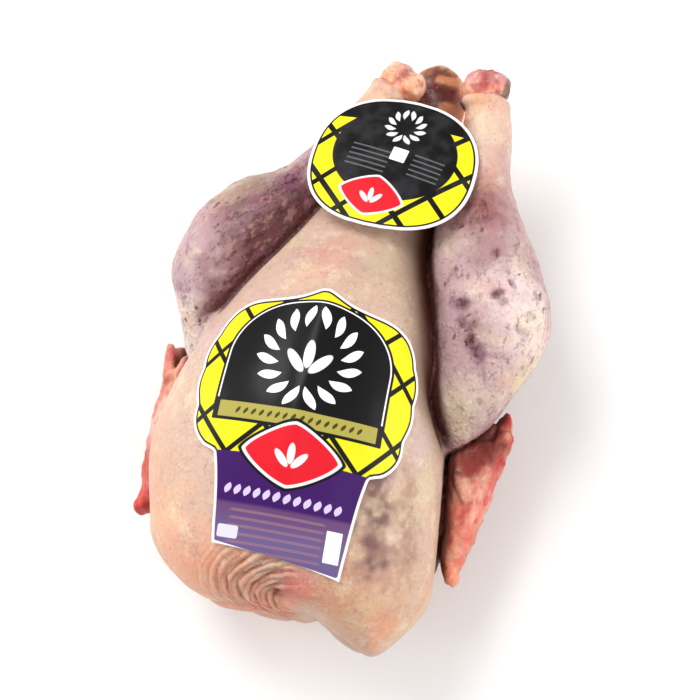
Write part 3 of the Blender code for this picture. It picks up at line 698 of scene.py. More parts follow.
reliefShape = {
    "gatherCentre": (0.014, -0.154, 0.106), "gatherPitch": 0.0064, "gatherHeight": 0.0026, "gatherSpan": 0.066,
    "pleats": 9, "pleatHeight": 0.0022, "front": (-0.12, -0.138),
    "pit": ((0.002, -0.152, 0.113), 0.007, -0.0045), "mound": ((0.016, -0.149, 0.12), 0.01, 0.0024),
    "quills": [     # rows of follicles: from and to in mm, how many, radius, height
        ((101, -36, 44), (96, -110, 42), 12, 2.3, 1.1), ((108, -40, 54), (101, -104, 52), 10, 2.0, 0.9),
        ((-104, -36, 40), (-106, -108, 38), 12, 2.3, 1.1), ((-112, -40, 50), (-110, -100, 48), 9, 2.0, 0.9),
        ((-2, 184, 66), (32, 184, 68), 6, 2.6, 1.2), ((-4, 180, 54), (34, 180, 56), 6, 2.6, 1.2),
    ],
    "lumps": 0.0018, "wrinkles": 0.0005, "webFolds": 0.0012, "fatLumps": 0.0035, "fatSize": 0.0075,
}


def skinRelief(p, masks):
    # how far the skin stands proud of its forms: gathers round the neck's notch, pleats below it,
    # follicles, lumps and wrinkles, folds of the webs, and fat
    r = reliefShape
    x, _, z = (p - r["gatherCentre"]).T
    far = lengthOf(p - r["gatherCentre"])
    front = ramp(*r["front"], p[:, 1])
    wave = np.abs(np.sin(math.pi * (far / r["gatherPitch"] + 1.3 * softNoise(p, 0.016, 1)))) ** 0.7
    around = ramp(0.004, -0.012, x) * ramp(-0.055, -0.01, z) * front
    around = around * ramp(0.007, 0.014, far) * ramp(r["gatherSpan"], 0.034, far)
    rise = r["gatherHeight"] * (wave - 0.6) * around
    angle = np.arctan2(x, -z)
    pleat = np.abs(np.sin(r["pleats"] * angle + 3 * softNoise(p, 0.03, 9))) ** 0.8
    below = ramp(1.5, 0.9, np.abs(angle + 0.1)) * ramp(0.012, 0.045, far) * ramp(0.1, 0.075, far)
    below = below * front * (1 - around)
    rise = rise + r["pleatHeight"] * (pleat - 0.65) * below
    # the valleys between the gathers and the pleats, where painted shade goes
    masks["valleyShade"] = ((1 - wave) * around + 0.6 * (1 - pleat) * below).clip(0, 1)
    masks["gather"], masks["ring"] = around, far / 0.0034
    for spot, radius, height in (r["pit"], r["mound"]):
        rise = rise + height * np.exp(-((p - spot) ** 2).sum(1) / radius**2)
    masks["quill"] = 0
    for start, end, count, radius, height in r["quills"]:
        spots = np.linspace(start, end, count) / 1000
        spots[:, 2] += 0.0016 * np.sin(np.arange(count) * 2.3)
        for spot in settleOn(birdDistance, spots, 0.0, 8):
            apart = lengthOf(p - spot) * 1000 / radius
            rise = rise + height / 1000 * (np.exp(-apart**2) - 0.7 * np.exp(-(apart / 0.42) ** 2))
            masks["quill"] = np.maximum(masks["quill"], ramp(0.62, 0.3, apart))
    breast, leg, wing = (masks[name] for name in ("breast", "leg", "wing"))
    lumps = swing(p, 0.026, 2) + 0.45 * swing(p, 0.011, 3)
    rise = rise + r["lumps"] * lumps * (0.35 * breast + leg + wing + masks["neck"])
    rise = rise + r["wrinkles"] * swing(p, 0.0045, 4) * (0.5 + wing + leg)
    stripes = np.abs(np.sin(math.pi * (p[:, 0] / 0.0055 + p[:, 1] / 0.019 + 1.6 * softNoise(p, 0.014, 5))))
    rise = rise + r["webFolds"] * (stripes - 0.6) * wing
    fat = (masks["hollow"] * 0.8 + masks["tail"] * 0.6).clip(0, 1)
    rise = rise + r["fatLumps"] * (softNoise(p, r["fatSize"], 6) - 0.45) * fat
    return rise * ramp(0.0005, 0.006, p[:, 2])


def skinColours(p, masks):
    # each region's colour, its patches and streaks, and painted shade in folds, creases and hollows
    look = skinLook
    colour = sum(masks[name][:, None] * paint(*shade) for name, shade in look["regions"].items())
    for key, area in (("patches", masks["breast"] + masks["neck"]), ("legPatches", masks["leg"]),
                      ("wingPatches", masks["wing"])):
        for *place, radius, red, green, blue, strength in look[key]:
            far = lengthOf(p * 1000 - place) / radius
            far = far + 0.6 * swing(p, radius / 1500, 8) + 0.5 * swing(p, radius / 4500, 20)
            colour = toward(colour, (red, green, blue), strength * ramp(1.25, 0.25, far) * area)
    speckle = (0.35 + 1.1 * softNoise(p, 0.0032, 19)).clip(0, 1)
    for start, end, radius, shade, strength, region in look["streaks"]:
        run, rel = np.subtract(end, start), p * 1000 - start
        far = lengthOf(rel - (rel @ run / (run @ run)).clip(0, 1)[:, None] * run) / radius
        far = far + 0.8 * swing(p, radius / 1200, 17) + 0.6 * swing(p, radius / 3500, 18)
        colour = toward(colour, shade, strength * speckle * ramp(1.2, 0.1, far) * masks[region])
    masks["leftCreaseFleshAndShade"] *= (0.6 + 0.9 * swing(p, 0.006, 15) + 0.5 * swing(p, 0.0028, 16)).clip(0, 1)
    masks["fat"] = ramp(0.55, 0.75, softNoise(p, reliefShape["fatSize"], 6)) * masks["hollow"]
    masks["legShade"] = ramp(0.15, 0.75, masks["shade"]) * masks["leg"]
    # painted shade in creases, from how deep the probes find each point in a fold
    masks["dark"] = ramp(0.2, 0.85, 0.5 * masks["fold"] + 0.5 * masks["shade"])
    for name, (shade, strength) in look["folds"].items():
        colour = toward(colour, shade, masks[name] * strength)
    masks["dark"] = np.max([masks[name] for name in ("dark", "gap", "hollow")], axis=0)
    return colour


skinPaint = {       # colour, the noise's scale, detail, roughness and range, strength, area
    "mottles": [((212, 142, 122), 30, 4, 0.6, 0.5, 0.74, 0.34, "bare"),
                ((222, 206, 160), 44, 4, 0.6, 0.5, 0.72, 0.36, "bare"),
                ((236, 224, 204), 90, 4, 0.6, 0.52, 0.72, 0.3, "bare"),
                ((136, 100, 112), 105, 5, 0.65, 0.5, 0.72, 1.0, "bareLeg"),
                ((130, 76, 60), 420, 3, 0.6, 0.5, 0.75, 0.24, None)],
    "blotches": [((186, 54, 50), 130, 4, 0.65, 0.52, 0.7, 0.55, "wing"),       # blood red, then fatty orange
                 ((236, 178, 140), 95, 4, 0.6, 0.52, 0.72, 0.6, "bareWing")],
    "strokes": [((126, 84, 104), 210, 4, 0.65, 0.54, 0.66, 0.55, "leg")],
    "flecks": [((186, 142, 130), 190, 3, 0.6, 0.5, 0.64, 0.42, "flesh"),       # tan, then dark red
               ((60, 20, 24), 270, 3, 0.6, 0.5, 0.62, 0.75, "flesh")],
    "veins": (150, 84, 92), "roots": (98, 50, 62), "mound": (240, 224, 200), "pit": (120, 84, 66),
    "gather": (168, 78, 58),
    "plain": {"Specular IOR Level": 0.34, "Subsurface Weight": 0.22, "Subsurface Radius": (1.0, 0.36, 0.2),
              "Subsurface Scale": 0.004, "Coat Roughness": 0.25, "IOR": 1.42},
}


def skinMaterial():
    # plucked skin: mottled colour, dark feather roots on the legs, follicles, and a moist surface
    material, sockets, s, place = startPaint("pluckedSkin")
    look, tint = skinPaint, s.attribute("skinTint", "Color")
    leg, wing, hollow, dark, gather = (s.attribute(n) for n in ("leg", "wing", "hollow", "dark", "gather"))
    # pale and warm mottling spares what is already dark
    bare = (1.0 - dark) * s.node("ShaderNodeRGBToBW", {}, {0: tint}).rising(0.1, 0.36)
    areas = {"bare": bare, "leg": leg, "wing": wing,
             "bareLeg": (0.16 + leg * 0.4) * bare, "bareWing": wing * bare}
    tint = blots(s, tint, place, look["mottles"], areas)
    veins = (abs(s.noise(place, 70, 5, 0.7) - 0.5) * 30.0).rising(0.1, 0.9, 1.0, 0.0)
    veins = veins * s.noise(place, 25, 2).rising(0.45, 0.65)
    tint = layered(tint, (look["veins"], veins * 0.2 * bare))
    tint = blots(s, tint, place, look["blotches"], areas)
    # feather roots under the leg's skin, as short dark strokes along it
    shift, grain = s.noise(place, 300, 3, 0.6, "Color"), s.attribute("grain", "Vector")
    wobble = s.node("ShaderNodeVectorMath", {"operation": "MULTIPLY_ADD"},
                    {0: shift, 1: (0.0045,) * 3, 2: grain})
    tint = blots(s, tint, wobble, look["strokes"], areas)
    stroke, chance = s.cells(wobble, 250, 0)
    roots = (0.36 * chance - stroke).rising(-0.08, 0.08) * leg * (1.0 - dark)
    tint = layered(tint, (look["roots"], roots * s.noise(place, 48, 3).rising(0.4, 0.62) * 0.8))
    # where the leg's flesh is dark, tan and dark red flecks
    deep = s.node("ShaderNodeRGBToBW", {}, {0: tint}).rising(0.1, 0.26, 1.0, 0.0)
    tint = blots(s, tint, wobble, look["flecks"], {"flesh": leg * deep * (1.0 - dark)})
    # follicles: a low mound with a pit in it, in tracts and not everywhere; the mound's paler colour is a
    # painted highlight
    pores, chance = s.cells(place, 265, 1)
    tract = s.noise(place, 22, 3).rising(0.42, 0.6)
    pit = (0.12 - pores).rising(-0.04, 0.03) * chance.rising(0.3, 0.6)
    mound = (0.4 - pores).rising(-0.05, 0.3)
    # the gathers' colour darkens in each fold's valley: painted shade
    fold = abs((s.attribute("ring") * math.pi + s.noise(place, 60, 2) * 5.0).maths("SINE"))
    tint = layered(tint, (look["mound"], (mound - pit).most(0.0) * (0.06 + tract * 0.16) * bare),
                   (look["pit"], pit * (0.14 + tract * 0.3)),
                   (look["gather"], (0.55 - fold).most(0.0) * gather * 0.8))
    height = mound * (0.1 + tract * 0.22 + leg * 0.2) - pit * 0.18 + fold * gather * 1.3
    height = height + s.noise(place, 750, 4, 0.6) * 0.16 + s.noise(place, 210, 3, 0.55) * 0.34
    rough = 0.5 - s.noise(place, 30, 4, 0.6).rising(0.4, 0.7) * 0.1 - hollow * 0.2
    fill(sockets, {"Base Color": tint, "Roughness": rough + s.noise(place, 420, 3, 0.6) * 0.08,
                   "Normal": s.bump(height), "Coat Weight": (0.1 + hollow * 0.4) * (1.0 - dark * 0.7),
                   **look["plain"]})
    return material


def makeSkin():
    # the surface where the whole carcass's distance is nothing, with its relief, colours and masks
    s = skinShape
    low, high = np.array(cadBox[0]) - s["margin"], np.array(cadBox[1]) + s["margin"]
    low[2] = s["below"]
    points, quads = surfaceOf(birdDistance, low, high, s["cell"])
    normals = unit(slopeOf(birdDistance, points))
    masks = skinMasks(points, normals, partDistances(points))
    moved = points + normals * skinRelief(points, masks)[:, None]
    moved[:, 2] = moved[:, 2].clip(0)
    skin = meshPiece("turkey_skin", moved, quads)
    setTint(skin, skinColours(points, masks))
    masks["leg"] = masks["leg"] * (1 - masks["shank"])
    for name in ("leg", "wing", "hollow", "dark", "gather", "ring"):
        setLayer(skin, name, masks[name])
    # feather tracts run down each leg, so their pattern is stretched along it
    grain = np.empty_like(points)
    for side in legs:
        form = forms["drum_" + side]
        here = (points[:, 0] > 0) == (side == "right")
        axes = np.stack((form["across"], form["along"] * 0.5, form["up"]), 1)
        grain[here] = (points[here] - form["start"]) @ axes
    setLayer(skin, "grain", grain, "FLOAT_VECTOR", "vector")
    skin.data.materials.append(skinMaterial())
    print("skin", len(points), "points,", 2 * len(quads), "triangles")
    return skin


skin = makeSkin()
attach(skin, "root")
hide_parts("torso", "neck_skin", "tail", *(f"{part}_{side}" for side in legs for part in
                                                  ("thigh", "drumstick", "upper_wing", "forewing", "wing_tip")))

# The cut ends of the leg bones.
hockShape = {
    "cell": 0.0007, "middle": 0.003, "reach": 0.026, "shank": 0.01, "from": -0.012, "to": 0.009,
    "knobAlong": 0.0096, "knobApart": 0.0056, "knob": (0.0082, 0.0084, 0.0108), "melt": 0.006,
    "groove": (0.0045, 0.0018), "lumps": 0.0022, "nubSize": (0.0034, 0.0068, 0.0042),
    "cleft": (168, 62, 58), "blood": (150, 56, 66),
    "right": {"nub": (0.011, 0.007, 0.0022), "near": (226, 160, 132), "outer": (206, 138, 132),
              "bloody": 0.6, "nubColour": (72, 66, 52)},
    "left": {"nub": (-0.01, 0.006, -0.004), "near": (232, 158, 118), "outer": (236, 182, 150),
             "bloody": 0.2, "nubColour": (150, 92, 70)},
    "specks": [((206, 92, 78), 180, 4, 0.6, 0.52, 0.7, 0.65, None),
               ((246, 214, 190), 260, 3, 0.6, 0.55, 0.72, 0.5, None),
               ((110, 34, 30), 420, 4, 0.6, 0.6, 0.72, 0.6, None)],
    "plain": {"Coat Weight": 0.35, "Subsurface Weight": 0.25, "Subsurface Radius": (1.0, 0.36, 0.2),
              "Subsurface Scale": 0.003, "Coat Roughness": 0.18, "IOR": 1.42},
}


def hockDistance(p, nub):
    # a short round shank melted into two round knobs, with a groove between them and a nub at one side;
    # the places are across, along and up from the ankle
    h = hockShape
    x, t, z = np.moveaxis(p, -1, 0)
    d = np.sqrt(x * x + z * z + (t - t.clip(h["from"], h["to"])) ** 2) - h["shank"]
    knobs = [(lengthOf((p - (side * h["knobApart"], h["knobAlong"], 0)) / h["knob"]) - 1) * h["knob"][1]
             for side in (-1, 1)]
    d = blendMin(d, furrowMin(*knobs, 0.001, h["groove"]), h["melt"])
    return blendMin(d, (lengthOf((p - nub) / h["nubSize"]) - 1) * min(h["nubSize"]), 0.002)


def makeHock(side):
    # its surface, lumps, and the colours of its cleft, blood and nub
    h, own, form = hockShape, hockShape[side], forms["drum_" + side]
    ankle, axes = ankleOf(form), np.stack((form["across"], form["along"], form["up"]), 1)

    def field(p):
        # the hock's distance at points of the bird
        return hockDistance((p - ankle) @ axes, own["nub"])

    middle = ankle + form["along"] * h["middle"]
    points, quads = surfaceOf(field, middle - h["reach"], middle + h["reach"], h["cell"])
    lumps = h["lumps"] * (swing(points, 0.006, 11) + 0.5 * swing(points, 0.0026, 12))
    hock = meshPiece("hock_end_" + side, points + unit(slopeOf(field, points)) * lumps[:, None], quads)
    local = (points - ankle) @ axes
    out = local[:, 1]
    colour = np.tile(paint(*own["near"]), (len(points), 1))
    blood = ramp(0.52, 0.72, softNoise(points, 0.0042, 13))
    for shade, share in ((own["outer"], ramp(0.004, 0.013, out)),
                         (h["cleft"], np.exp(-((local[:, 0] / 0.0035) ** 2)) * ramp(0.002, 0.009, out) * 0.8),
                         (h["blood"], blood * own["bloody"]),
                         (own["nubColour"], ramp(1.5, 1.0, lengthOf((local - own["nub"]) / h["nubSize"])))):
        colour = toward(colour, shade, share)
    setTint(hock, colour)
    return hock


def hockMaterial():
    # cartilage: pinkish white and glossy, with blood in the hollows and yellow fat
    material, sockets, s, place = startPaint("jointEnd")
    tint = blots(s, s.attribute("skinTint", "Color"), place, hockShape["specks"], {})
    height = s.noise(place, 600, 4, 0.6) * 0.25 + s.noise(place, 220, 3) * 0.4
    fill(sockets, {"Base Color": tint, "Roughness": 0.34 + s.noise(place, 150, 3) * 0.15,
                   "Normal": s.bump(height), **hockShape["plain"]})
    return material


jointEnd = hockMaterial()
for side in legs:
    hock = makeHock(side)
    hock.data.materials.append(jointEnd)
    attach(hock, "root")
    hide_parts("hock_" + side)
print("hocks made")

# The labels.
labelShape = {
    "centre": (-0.0025, -0.062), "turn": math.radians(-2.5), "length": 0.155, "foot": 0.35,
    "tilt": 0.0048, "rise": 0.0018,     # how much the foot's edge slopes across, and how much its middle rises
    "outline": [(0.000, 0.036), (0.35, 0.044), (0.37, 0.052), (0.43, 0.059), (0.53, 0.063),
                (0.62, 0.0655), (0.71, 0.065), (0.79, 0.062), (0.873, 0.054), (0.905, 0.0485),
                (0.93, 0.04), (0.944, 0.026), (0.96, 0.016), (1.000, 0.002)],     # share of length, half width
    "scallops": (0.37, 0.93, 0.14, 0.0016),      # from, to, pitch and height of the waves along its sides
    "rows": 136, "columns": 64, "lift": 0.001, "thickness": 0.0006,
    "curl": 0.0012, "corner": (0.04, 0.2), "curlReach": 0.006,      # its edge lifts, most at the foot's corners
}
tagShape = {
    "centre": (0.0075, 0.101), "width": 0.097, "length": 0.087, "slope": 0.3, "droop": 3.2, "along": 0.4,
    "power": 2.4, "blunt": 0.998, "rows": 72, "columns": 64, "thickness": 0.0007,
}
printSize = 0.2     # side of the square that a print's coordinates cover


def closedPlate(name, under, over, flat, rim):
    # two grids of points joined round their edge, with the print's coordinates
    # and each point's distance from the rim
    index = np.arange(rim.size).reshape(rim.shape)
    quad = np.stack((index[:-1, :-1], index[:-1, 1:], index[1:, 1:], index[1:, :-1]), -1).reshape(-1, 4)
    edge = np.concatenate((index[0, :-1], index[:-1, -1], index[-1, :0:-1], index[:0:-1, 0]))
    after = np.roll(edge, -1)
    wall = np.stack((edge, after, after + rim.size, edge + rim.size), 1)
    faces = np.concatenate((quad + rim.size, quad[:, ::-1], wall))
    plate = meshPiece(name, np.concatenate((under.reshape(-1, 3), over.reshape(-1, 3))), faces)
    corner = np.empty(len(plate.data.loops), np.int32)
    plate.data.loops.foreach_get("vertex_index", corner)
    flat = np.concatenate((flat.reshape(-1, 2),) * 2) / printSize + 0.5
    plate.data.uv_layers.new(name="print").data.foreach_set("uv", flat[corner].astype(np.float32).ravel())
    setLayer(plate, "rim", np.concatenate((rim.ravel(),) * 2) * 1000)
    setLayer(plate, "face", np.repeat((0, 1), rim.size))
    plate.data.set_sharp_from_angle(angle=math.radians(50))
    return plate


def rimDistance(flat):
    # each point's distance from the nearest stretch of the closed outline of its grid
    outline = np.concatenate((flat[:, -1], flat[::-1, 0]))
    best = np.full(flat.shape[:-1], 1.0)
    for start, run in zip(outline, np.roll(outline, -1, axis=0) - outline):
        if run @ run < 1e-14:
            continue
        t = ((flat - start) @ run / (run @ run)).clip(0, 1)
        best = np.minimum(best, lengthOf(flat - start - t[..., None] * run))
    return best


def walkOver(p, axis, length, level, steps=14):
    # points walked over the torso, each small step square to its slope and to the axis
    for _ in range(steps):
        slope = unit(slopeOf(torsoDistance, p))
        p = p + unit(np.cross(axis, slope)) * (length / steps)[:, None]
        p = settleOn(torsoDistance, p, level, 1)
    return p


def makeBreastLabel():
    # the label's flat shape laid on the breast: first along the keel, then across it
    s = labelShape
    v, u = np.linspace(0, 1, s["rows"] + 1), np.linspace(-1, 1, s["columns"] + 1)
    first, last, pitch, height = s["scallops"]
    places, table = smoothRows(s["outline"], 400)
    half = np.interp(v, places, table[:, 1])
    half = half + height * np.abs(np.sin(math.pi * (v - first) / pitch)) * (v > first) * (v < last)
    run = (v - 0.5) * s["length"]
    flat = np.stack(np.broadcast_arrays(half[:, None] * u, run[:, None]), -1)
    low = (1 - v / s["foot"]).clip(0)[:, None]
    flat[..., 1] += low * (s["rise"] * (1 - u * u) - s["tilt"] * (u - 0.3))
    c, sn = math.cos(s["turn"]), math.sin(s["turn"])
    axis, side = np.array((sn, c, 0)), np.array((c, -sn, 0))
    start = settleOn(torsoDistance, np.tile((*s["centre"], 0.15), (len(v), 1)), s["lift"], 4)
    spine = walkOver(start, -side, run, s["lift"], 30)
    under = walkOver(np.repeat(spine, len(u), 0), axis, flat[..., 0].ravel(), s["lift"])
    under = walkOver(under, -side, (flat[..., 1] - run[:, None]).ravel(), s["lift"], 3)
    normal = unit(slopeOf(torsoDistance, under))
    rim = rimDistance(flat)
    wide, share = s["corner"]
    corner = (np.abs(flat[..., 0]) / wide).clip(0, 1.2) * (1 - v / share).clip(0, 1)[:, None]
    lift = s["curl"] * (corner.ravel() ** 2 + 0.5 * softNoise(under, 0.02, 14))
    under = under + normal * (lift * np.exp(-rim.ravel() / s["curlReach"]))[:, None]
    return closedPlate("breast_shield", under, under + normal * s["thickness"], flat, rim)


def makeTag():
    # a stiff round tag that droops to its sides, standing where its solid stands
    s = tagShape
    v = s["length"] * (np.linspace(0, 1, s["rows"] + 1) - 0.5) * s["blunt"]
    half = s["width"] / 2 * (1 - np.abs(2 * v / s["length"]) ** s["power"]) ** (1 / s["power"])
    u = half[:, None] * np.linspace(-1, 1, s["columns"] + 1)
    v = np.broadcast_to(v[:, None], u.shape)
    drop = s["droop"] * (u * u + s["along"] * v**2) + s["slope"] * v
    under = np.stack((s["centre"][0] + u, s["centre"][1] + v, -drop), -1)
    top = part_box("leg_tag")[1][2]
    under[..., 2] += top - s["thickness"] - under[..., 2].max()
    flat = np.stack((u, v), -1)
    return closedPlate("vent_tag", under, under + (0, 0, s["thickness"]), flat, rimDistance(flat))


def turned(at, cx, cy, angle=0.0):
    # places along and beside a direction through a centre, for the print's shapes, all in mm
    c, s = math.cos(math.radians(angle)), math.sin(math.radians(angle))
    x, y = at[0] - cx, at[1] - cy
    return x * c + y * s, y * c - x * s


def box(at, cx, cy, hx, hy, angle=0.0, bend=0.0):
    # one inside a turned box with rounded corners, nothing outside it
    a, b = turned(at, cx, cy, angle)
    a, b = abs(a) - (hx - bend), abs(b) - (hy - bend)
    out, beside = a.most(0.0), b.most(0.0)
    return ((out * out + beside * beside) ** 0.5 + a.most(b).least(0.0) - bend).inside(0.18)


def oval(at, cx, cy, rx, ry, angle=0.0):
    # one inside a turned ellipse
    a, b = turned(at, cx, cy, angle)
    a, b = a / rx, b / ry
    return (((a * a + b * b) ** 0.5 - 1.0) * min(rx, ry)).inside(0.25)


def leaf(along, beside, long, wide):
    # one inside a pointed leaf, where two curved edges cross
    return (wide * (1.0 - (along / long) ** 2.0).most(-1.0) - abs(beside)).rising(-0.12, 0.12)


def leafRow(at, cx, cy, pitch, count, long, wide, lean, angle=0.0):
    # leaning leaves side by side along a line
    a, b = turned(at, cx, cy, angle)
    a, half = a - b * lean, pitch * count / 2
    return leaf(b, (a + half) % pitch - pitch / 2, long, wide) * (abs(a) - half).inside(0.1)


def wreath(at, cx, cy, radius, count, long, wide, lean):
    # leaves round a ring, leaning alike to both sides of its upright
    across, up = abs(at[0] - cx), at[1] - cy
    far = (across * across + up * up) ** 0.5 - radius
    turn = up.maths("ARCTAN2", across) * (count / (2 * math.pi)) - far * lean
    return leaf(far, (turn % 1.0 - 0.5) * (2 * math.pi * radius / count), long, wide)


def sprig(at, cx, cy, size):
    # three leaves that spread from one foot
    left, middle, right = (oval(at, cx + k * size * 0.55, cy + (0.3 - 0.34 * abs(k)) * size,
                                size * 0.22, size * 0.62, -42 * k) for k in (-1, 0, 1))
    return left.most(middle).most(right)


def trellis(at, cx, cy, pitch, line):
    # two sets of slanting lines that cross
    x, y = at[0] - cx, at[1] - cy
    a, b = (abs(slant % pitch - pitch / 2) for slant in (x + y, x - y))
    return (a.least(b) - line).inside(0.3)


def arch(at, cx, foot, spring, top, half, grow):
    # upright sides under a rounded top
    x, y = at[0] - cx, (at[1] - spring).most(0.0) * (half / (top - spring))
    return (((x * x + y * y) ** 0.5 - half).most(foot - at[1]) - grow).inside()


def lozenge(at, cx, cy, rx, ry, angle=0.0):
    # a diamond with slightly bowed sides
    a, b = turned(at, cx, cy, angle)
    far = (abs(a / rx) ** 1.3 + abs(b / ry) ** 1.3) ** (1 / 1.3) - 1.0
    return (far * (min(rx, ry) * 0.8)).inside(0.25)


ink = {"black": (14, 13, 15), "yellow": (246, 232, 32), "gold": (168, 158, 74), "purple": (58, 18, 92),
       "mauve": (98, 62, 106), "lavender": (104, 88, 134), "red": (214, 26, 40), "white": (250, 246, 246),
       "rim": (244, 234, 238), "edge": (232, 228, 222), "grey": (120, 118, 122)}
labelFilm = {"Coat Weight": 0.06, "Coat Roughness": 0.15, "IOR": 1.45, "Specular IOR Level": 0.16}


def labelStart(name):
    # as startPaint, with the place on the print in mm from its middle
    material, sockets, s, place = startPaint(name)
    x, y, _ = s.split("ShaderNodeSeparateXYZ", s.node("ShaderNodeUVMap", {"uv_map": "print"}))
    size = printSize * 1000
    return material, sockets, s, place, ((x - 0.5) * size, (y - 0.5) * size)


def badge(tint, at, rings, middle, size, angle, leaves):
    # a lozenge within its rings, with a sprig on it
    for grow, shade in rings:
        ring = lozenge(at, *middle, size[0] + 1.3 * grow, size[1] + grow, angle)
        tint = layered(tint, (ink[shade], ring))
    return layered(tint, (ink["white"], sprig(at, *leaves)))


def labelFinish(sockets, s, place, tint, rimWidth, lined):
    # a white rim with a dark line inside it where lined, a glossy film, and faint waves in it
    rim = s.attribute("rim") - rimWidth
    tint = layered(tint, (ink["black"], (rim - 1.1).inside() * lined), (ink["rim"], rim.inside()))
    tint = layered(ink["edge"], (tint, s.attribute("face").rising(0.5, 0.9)))
    height = s.noise(place, 45, 3) * 0.5 + s.noise(place, 700, 2) * 0.015
    fill(sockets, {"Base Color": tint, "Roughness": 0.36 + s.noise(place, 220, 3) * 0.08,
                   "Normal": s.bump(height, 0.6), **labelFilm})


shieldPrint = {     # centres and sizes in mm, in the order that each shape takes them
    "trellis": (0, -4, 37, 2.0), "foot": -20, "fade": (-45, -69), "purpleFrom": -49,
    "lines": (4.2, 0.75, -2, 26),
    "leaves": (-1, -42.5, 5.6, 12, 3.0, 1.9, 0.3, -2), "patch": (30, -63.5, 4.3, 8.6, 0, 0.4),
    "small": (-28, -64.5, 6.0, 3.4, 0, 1.2), "arch": (-1, 3, 34, 69, 48), "archRings": (1.6, 0.0, -0.9),
    "wreath": (-1, 36, 24, 16, 6.4, 2.8, 0.045), "sprig": (-1, 33, 13),
    "bar": (-1, 1, 49, 6.2, 0, 0.8), "goldBar": (-1, 1, 45.5, 4.4, 0, 0.5),
    "barLeaves": (0, 1, 4.6, 16, 2.0, 1.1, 0.5),
    "badge": (((1.8, "black"), (0.0, "white"), (-1.6, "red")), (0, -19), (28, 18), 0, (0, -21, 9)),
    "shade": (222, 208, 20), "line": (152, 112, 122), "leafPale": (206, 190, 222), "palePatch": (214, 208, 226),
    "leafDark": (70, 64, 24), "rim": 1.5,
}


def breastLabelMaterial():
    # a yellow ground under a trellis, a purple foot, a black arch with a wreath, a gold bar and a badge
    material, sockets, s, place, at = labelStart("shieldPrint")
    look, (x, y) = shieldPrint, at
    tint = layered(ink["yellow"], (look["shade"], s.noise(place, 60, 2)),
                   (ink["black"], trellis(at, *look["trellis"])))
    # the purple foot with plain bands
    foot = (y - look["foot"] + abs(x) * 0.05).inside()
    top, low = look["fade"]
    pitch, thick, middle, half = look["lines"]
    above = y - look["purpleFrom"]
    lines = (abs(y % pitch - pitch / 2) - thick).inside() * above.rising(-1.0, 0.0, 1.0, 0.0)
    lines = lines * (abs(x - middle) - half).inside(2.0)
    band = layered(ink["mauve"], (ink["lavender"], (top - y).rising(0.0, top - low)),
                   (look["line"], lines * 0.6), (ink["purple"], above.rising(-1.0, 1.5)),
                   (look["leafPale"], leafRow(at, *look["leaves"])),
                   (ink["white"], box(at, *look["patch"])), (look["palePatch"], box(at, *look["small"])))
    tint = layered(tint, (band, foot))
    # the black arch, its white outline and its leaves
    for grow, shade in zip(look["archRings"], ("black", "white", "black")):
        tint = layered(tint, (ink[shade], arch(at, *look["arch"], grow)))
    tint = layered(tint, (ink["white"], wreath(at, *look["wreath"])), (ink["white"], sprig(at, *look["sprig"])),
                   (ink["black"], box(at, *look["bar"])), (ink["gold"], box(at, *look["goldBar"])),
                   (look["leafDark"], leafRow(at, *look["barLeaves"])))
    labelFinish(sockets, s, place, badge(tint, at, *look["badge"]), look["rim"], 1.0 - foot)
    return material


tagPrint = {
    "ring": (6, 1.3, 31.5, 32.1), "above": 26, "trellis": (-6, -2, 32, 2.3),
    "wreath": (2, 24.5, 9.0, 12, 3.4, 1.6, 0.08), "patch": (3, 5, 4.6, 4.4, -8, 0.5),
    "lines": (0.14, 3.4, 0.5), "blocks": ((-14, 0, 12, 9, -8), (20, -1, 9, 9, -8)),
    "badge": (((0.0, "white"), (-1.2, "red")), (-6, -24), (20, 13.5), -8, (-6, -25.5, 6.5)),
    "shade": (40, 40, 42), "pale": (222, 220, 216), "rim": 1.7,
}


def tagMaterial():
    # black, with a yellow border under a trellis, a small wreath, a plain patch, thin lines and a badge
    material, sockets, s, place, at = labelStart("tagPrint")
    look, (x, y) = tagPrint, at
    middle, wide, near, far = look["ring"]
    up = y - middle
    border = ((x * x / wide + up * up) ** 0.5).rising(near, far) * (y - look["above"]).inside()
    border = border * (1.0 - trellis(at, *look["trellis"]))
    lean, pitch, thick = look["lines"]
    stripe = (abs((y + x * lean) % pitch - pitch / 2) - thick).inside()
    left, right = (box(at, *block) for block in look["blocks"])
    tint = layered(ink["black"], (look["shade"], s.noise(place, 90, 3).rising(0.4, 0.7)),
                   (ink["yellow"], border), (look["pale"], wreath(at, *look["wreath"])),
                   (ink["white"], box(at, *look["patch"])),
                   (ink["grey"], stripe * (left + right) * 0.6))
    labelFinish(sockets, s, place, badge(tint, at, *look["badge"]), look["rim"], 1.0)
    return material


for piece, node, look in ((makeBreastLabel(), "breast_label", breastLabelMaterial()),
                          (makeTag(), "leg_tag", tagMaterial())):
    piece.data.materials.append(look)
    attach(piece, "root")
    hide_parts(node)
print("labels made")

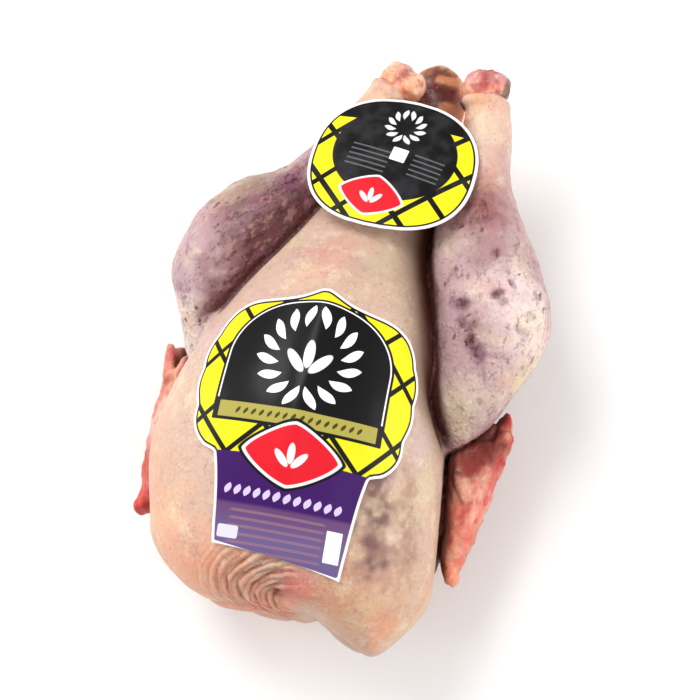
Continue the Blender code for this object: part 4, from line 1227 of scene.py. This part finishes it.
# The floor, camera and light.
studio = {
    "floor": (240, 239, 238), "floorShade": (244, 243, 242), "sky": 0.55,
    "lamps": [      # place, size, power
        ("key", (-0.55, 0.55, 1.35), 0.7, 13.5), ("fill", (0.9, -0.6, 1.2), 1.0, 5.5),
        ("rimLeft", (-1.1, -0.1, 0.5), 0.7, 6.0), ("rimRight", (1.1, 0.1, 0.5), 0.7, 6.0)],
}
cameraSet = {"lens": 85, "distance": 0.98, "tiltX": 10, "tiltY": 12, "roll": 13.8, "target": (0, 0, 0.06)}


def floorMaterial():
    # pale and dull, with a trace of cloud
    material, sockets, s, place = startPaint("paleFloor")
    fill(sockets, {"Base Color": layered(studio["floor"], (studio["floorShade"], s.noise(place, 3, 3))),
                   "Roughness": 0.7 + s.noise(place, 40, 2) * 0.1})
    return material


square = np.array([(-3, -3, 0), (3, -3, 0), (3, 3, 0), (-3, 3, 0)])
floor = meshPiece("floor", square, np.array([[0, 1, 2, 3]]), False)
floor.data.materials.append(floorMaterial())


def addCamera():
    # looks down on the breast, tilted a little to the right and towards the neck, and rolled
    c = cameraSet
    tx, ty = math.radians(c["tiltX"]), math.radians(c["tiltY"])
    back = Vector((math.sin(tx), -math.sin(ty) * math.cos(tx), math.cos(ty) * math.cos(tx))).normalized()
    right = Vector((0, 1, 0)).cross(back).normalized()
    turn = Matrix((right, back.cross(right), back)).transposed()
    turn = turn @ Matrix.Rotation(math.radians(c["roll"]), 3, "Z")
    camera = bpy.data.objects.new("camera", bpy.data.cameras.new("camera"))
    bpy.context.scene.collection.objects.link(camera)
    camera.data.lens = c["lens"]
    camera.data.clip_start = 0.01
    camera.location = Vector(c["target"]) + back * c["distance"]
    camera.rotation_mode = "QUATERNION"
    camera.rotation_quaternion = turn.to_quaternion()
    bpy.context.scene.camera = camera


def addLight(name, place, size, power):
    # a square lamp turned to the bird
    lamp = bpy.data.lights.new(name, "AREA")
    lamp.size, lamp.energy = size, power
    item = bpy.data.objects.new(name, lamp)
    bpy.context.scene.collection.objects.link(item)
    item.location = place
    item.rotation_euler = (Vector((0, 0, 0.05)) - Vector(place)).to_track_quat("-Z", "Y").to_euler()


addCamera()
for lamp in studio["lamps"]:
    addLight(*lamp)
world = bpy.data.worlds.new("studio")
world.use_nodes = True
sky = world.node_tree.nodes["Background"].inputs
sky["Color"].default_value = (1, 1, 1, 1)
sky["Strength"].default_value = studio["sky"]
bpy.context.scene.world = world
bpy.context.scene.view_settings.view_transform = "Standard"

print("camera and lights set")
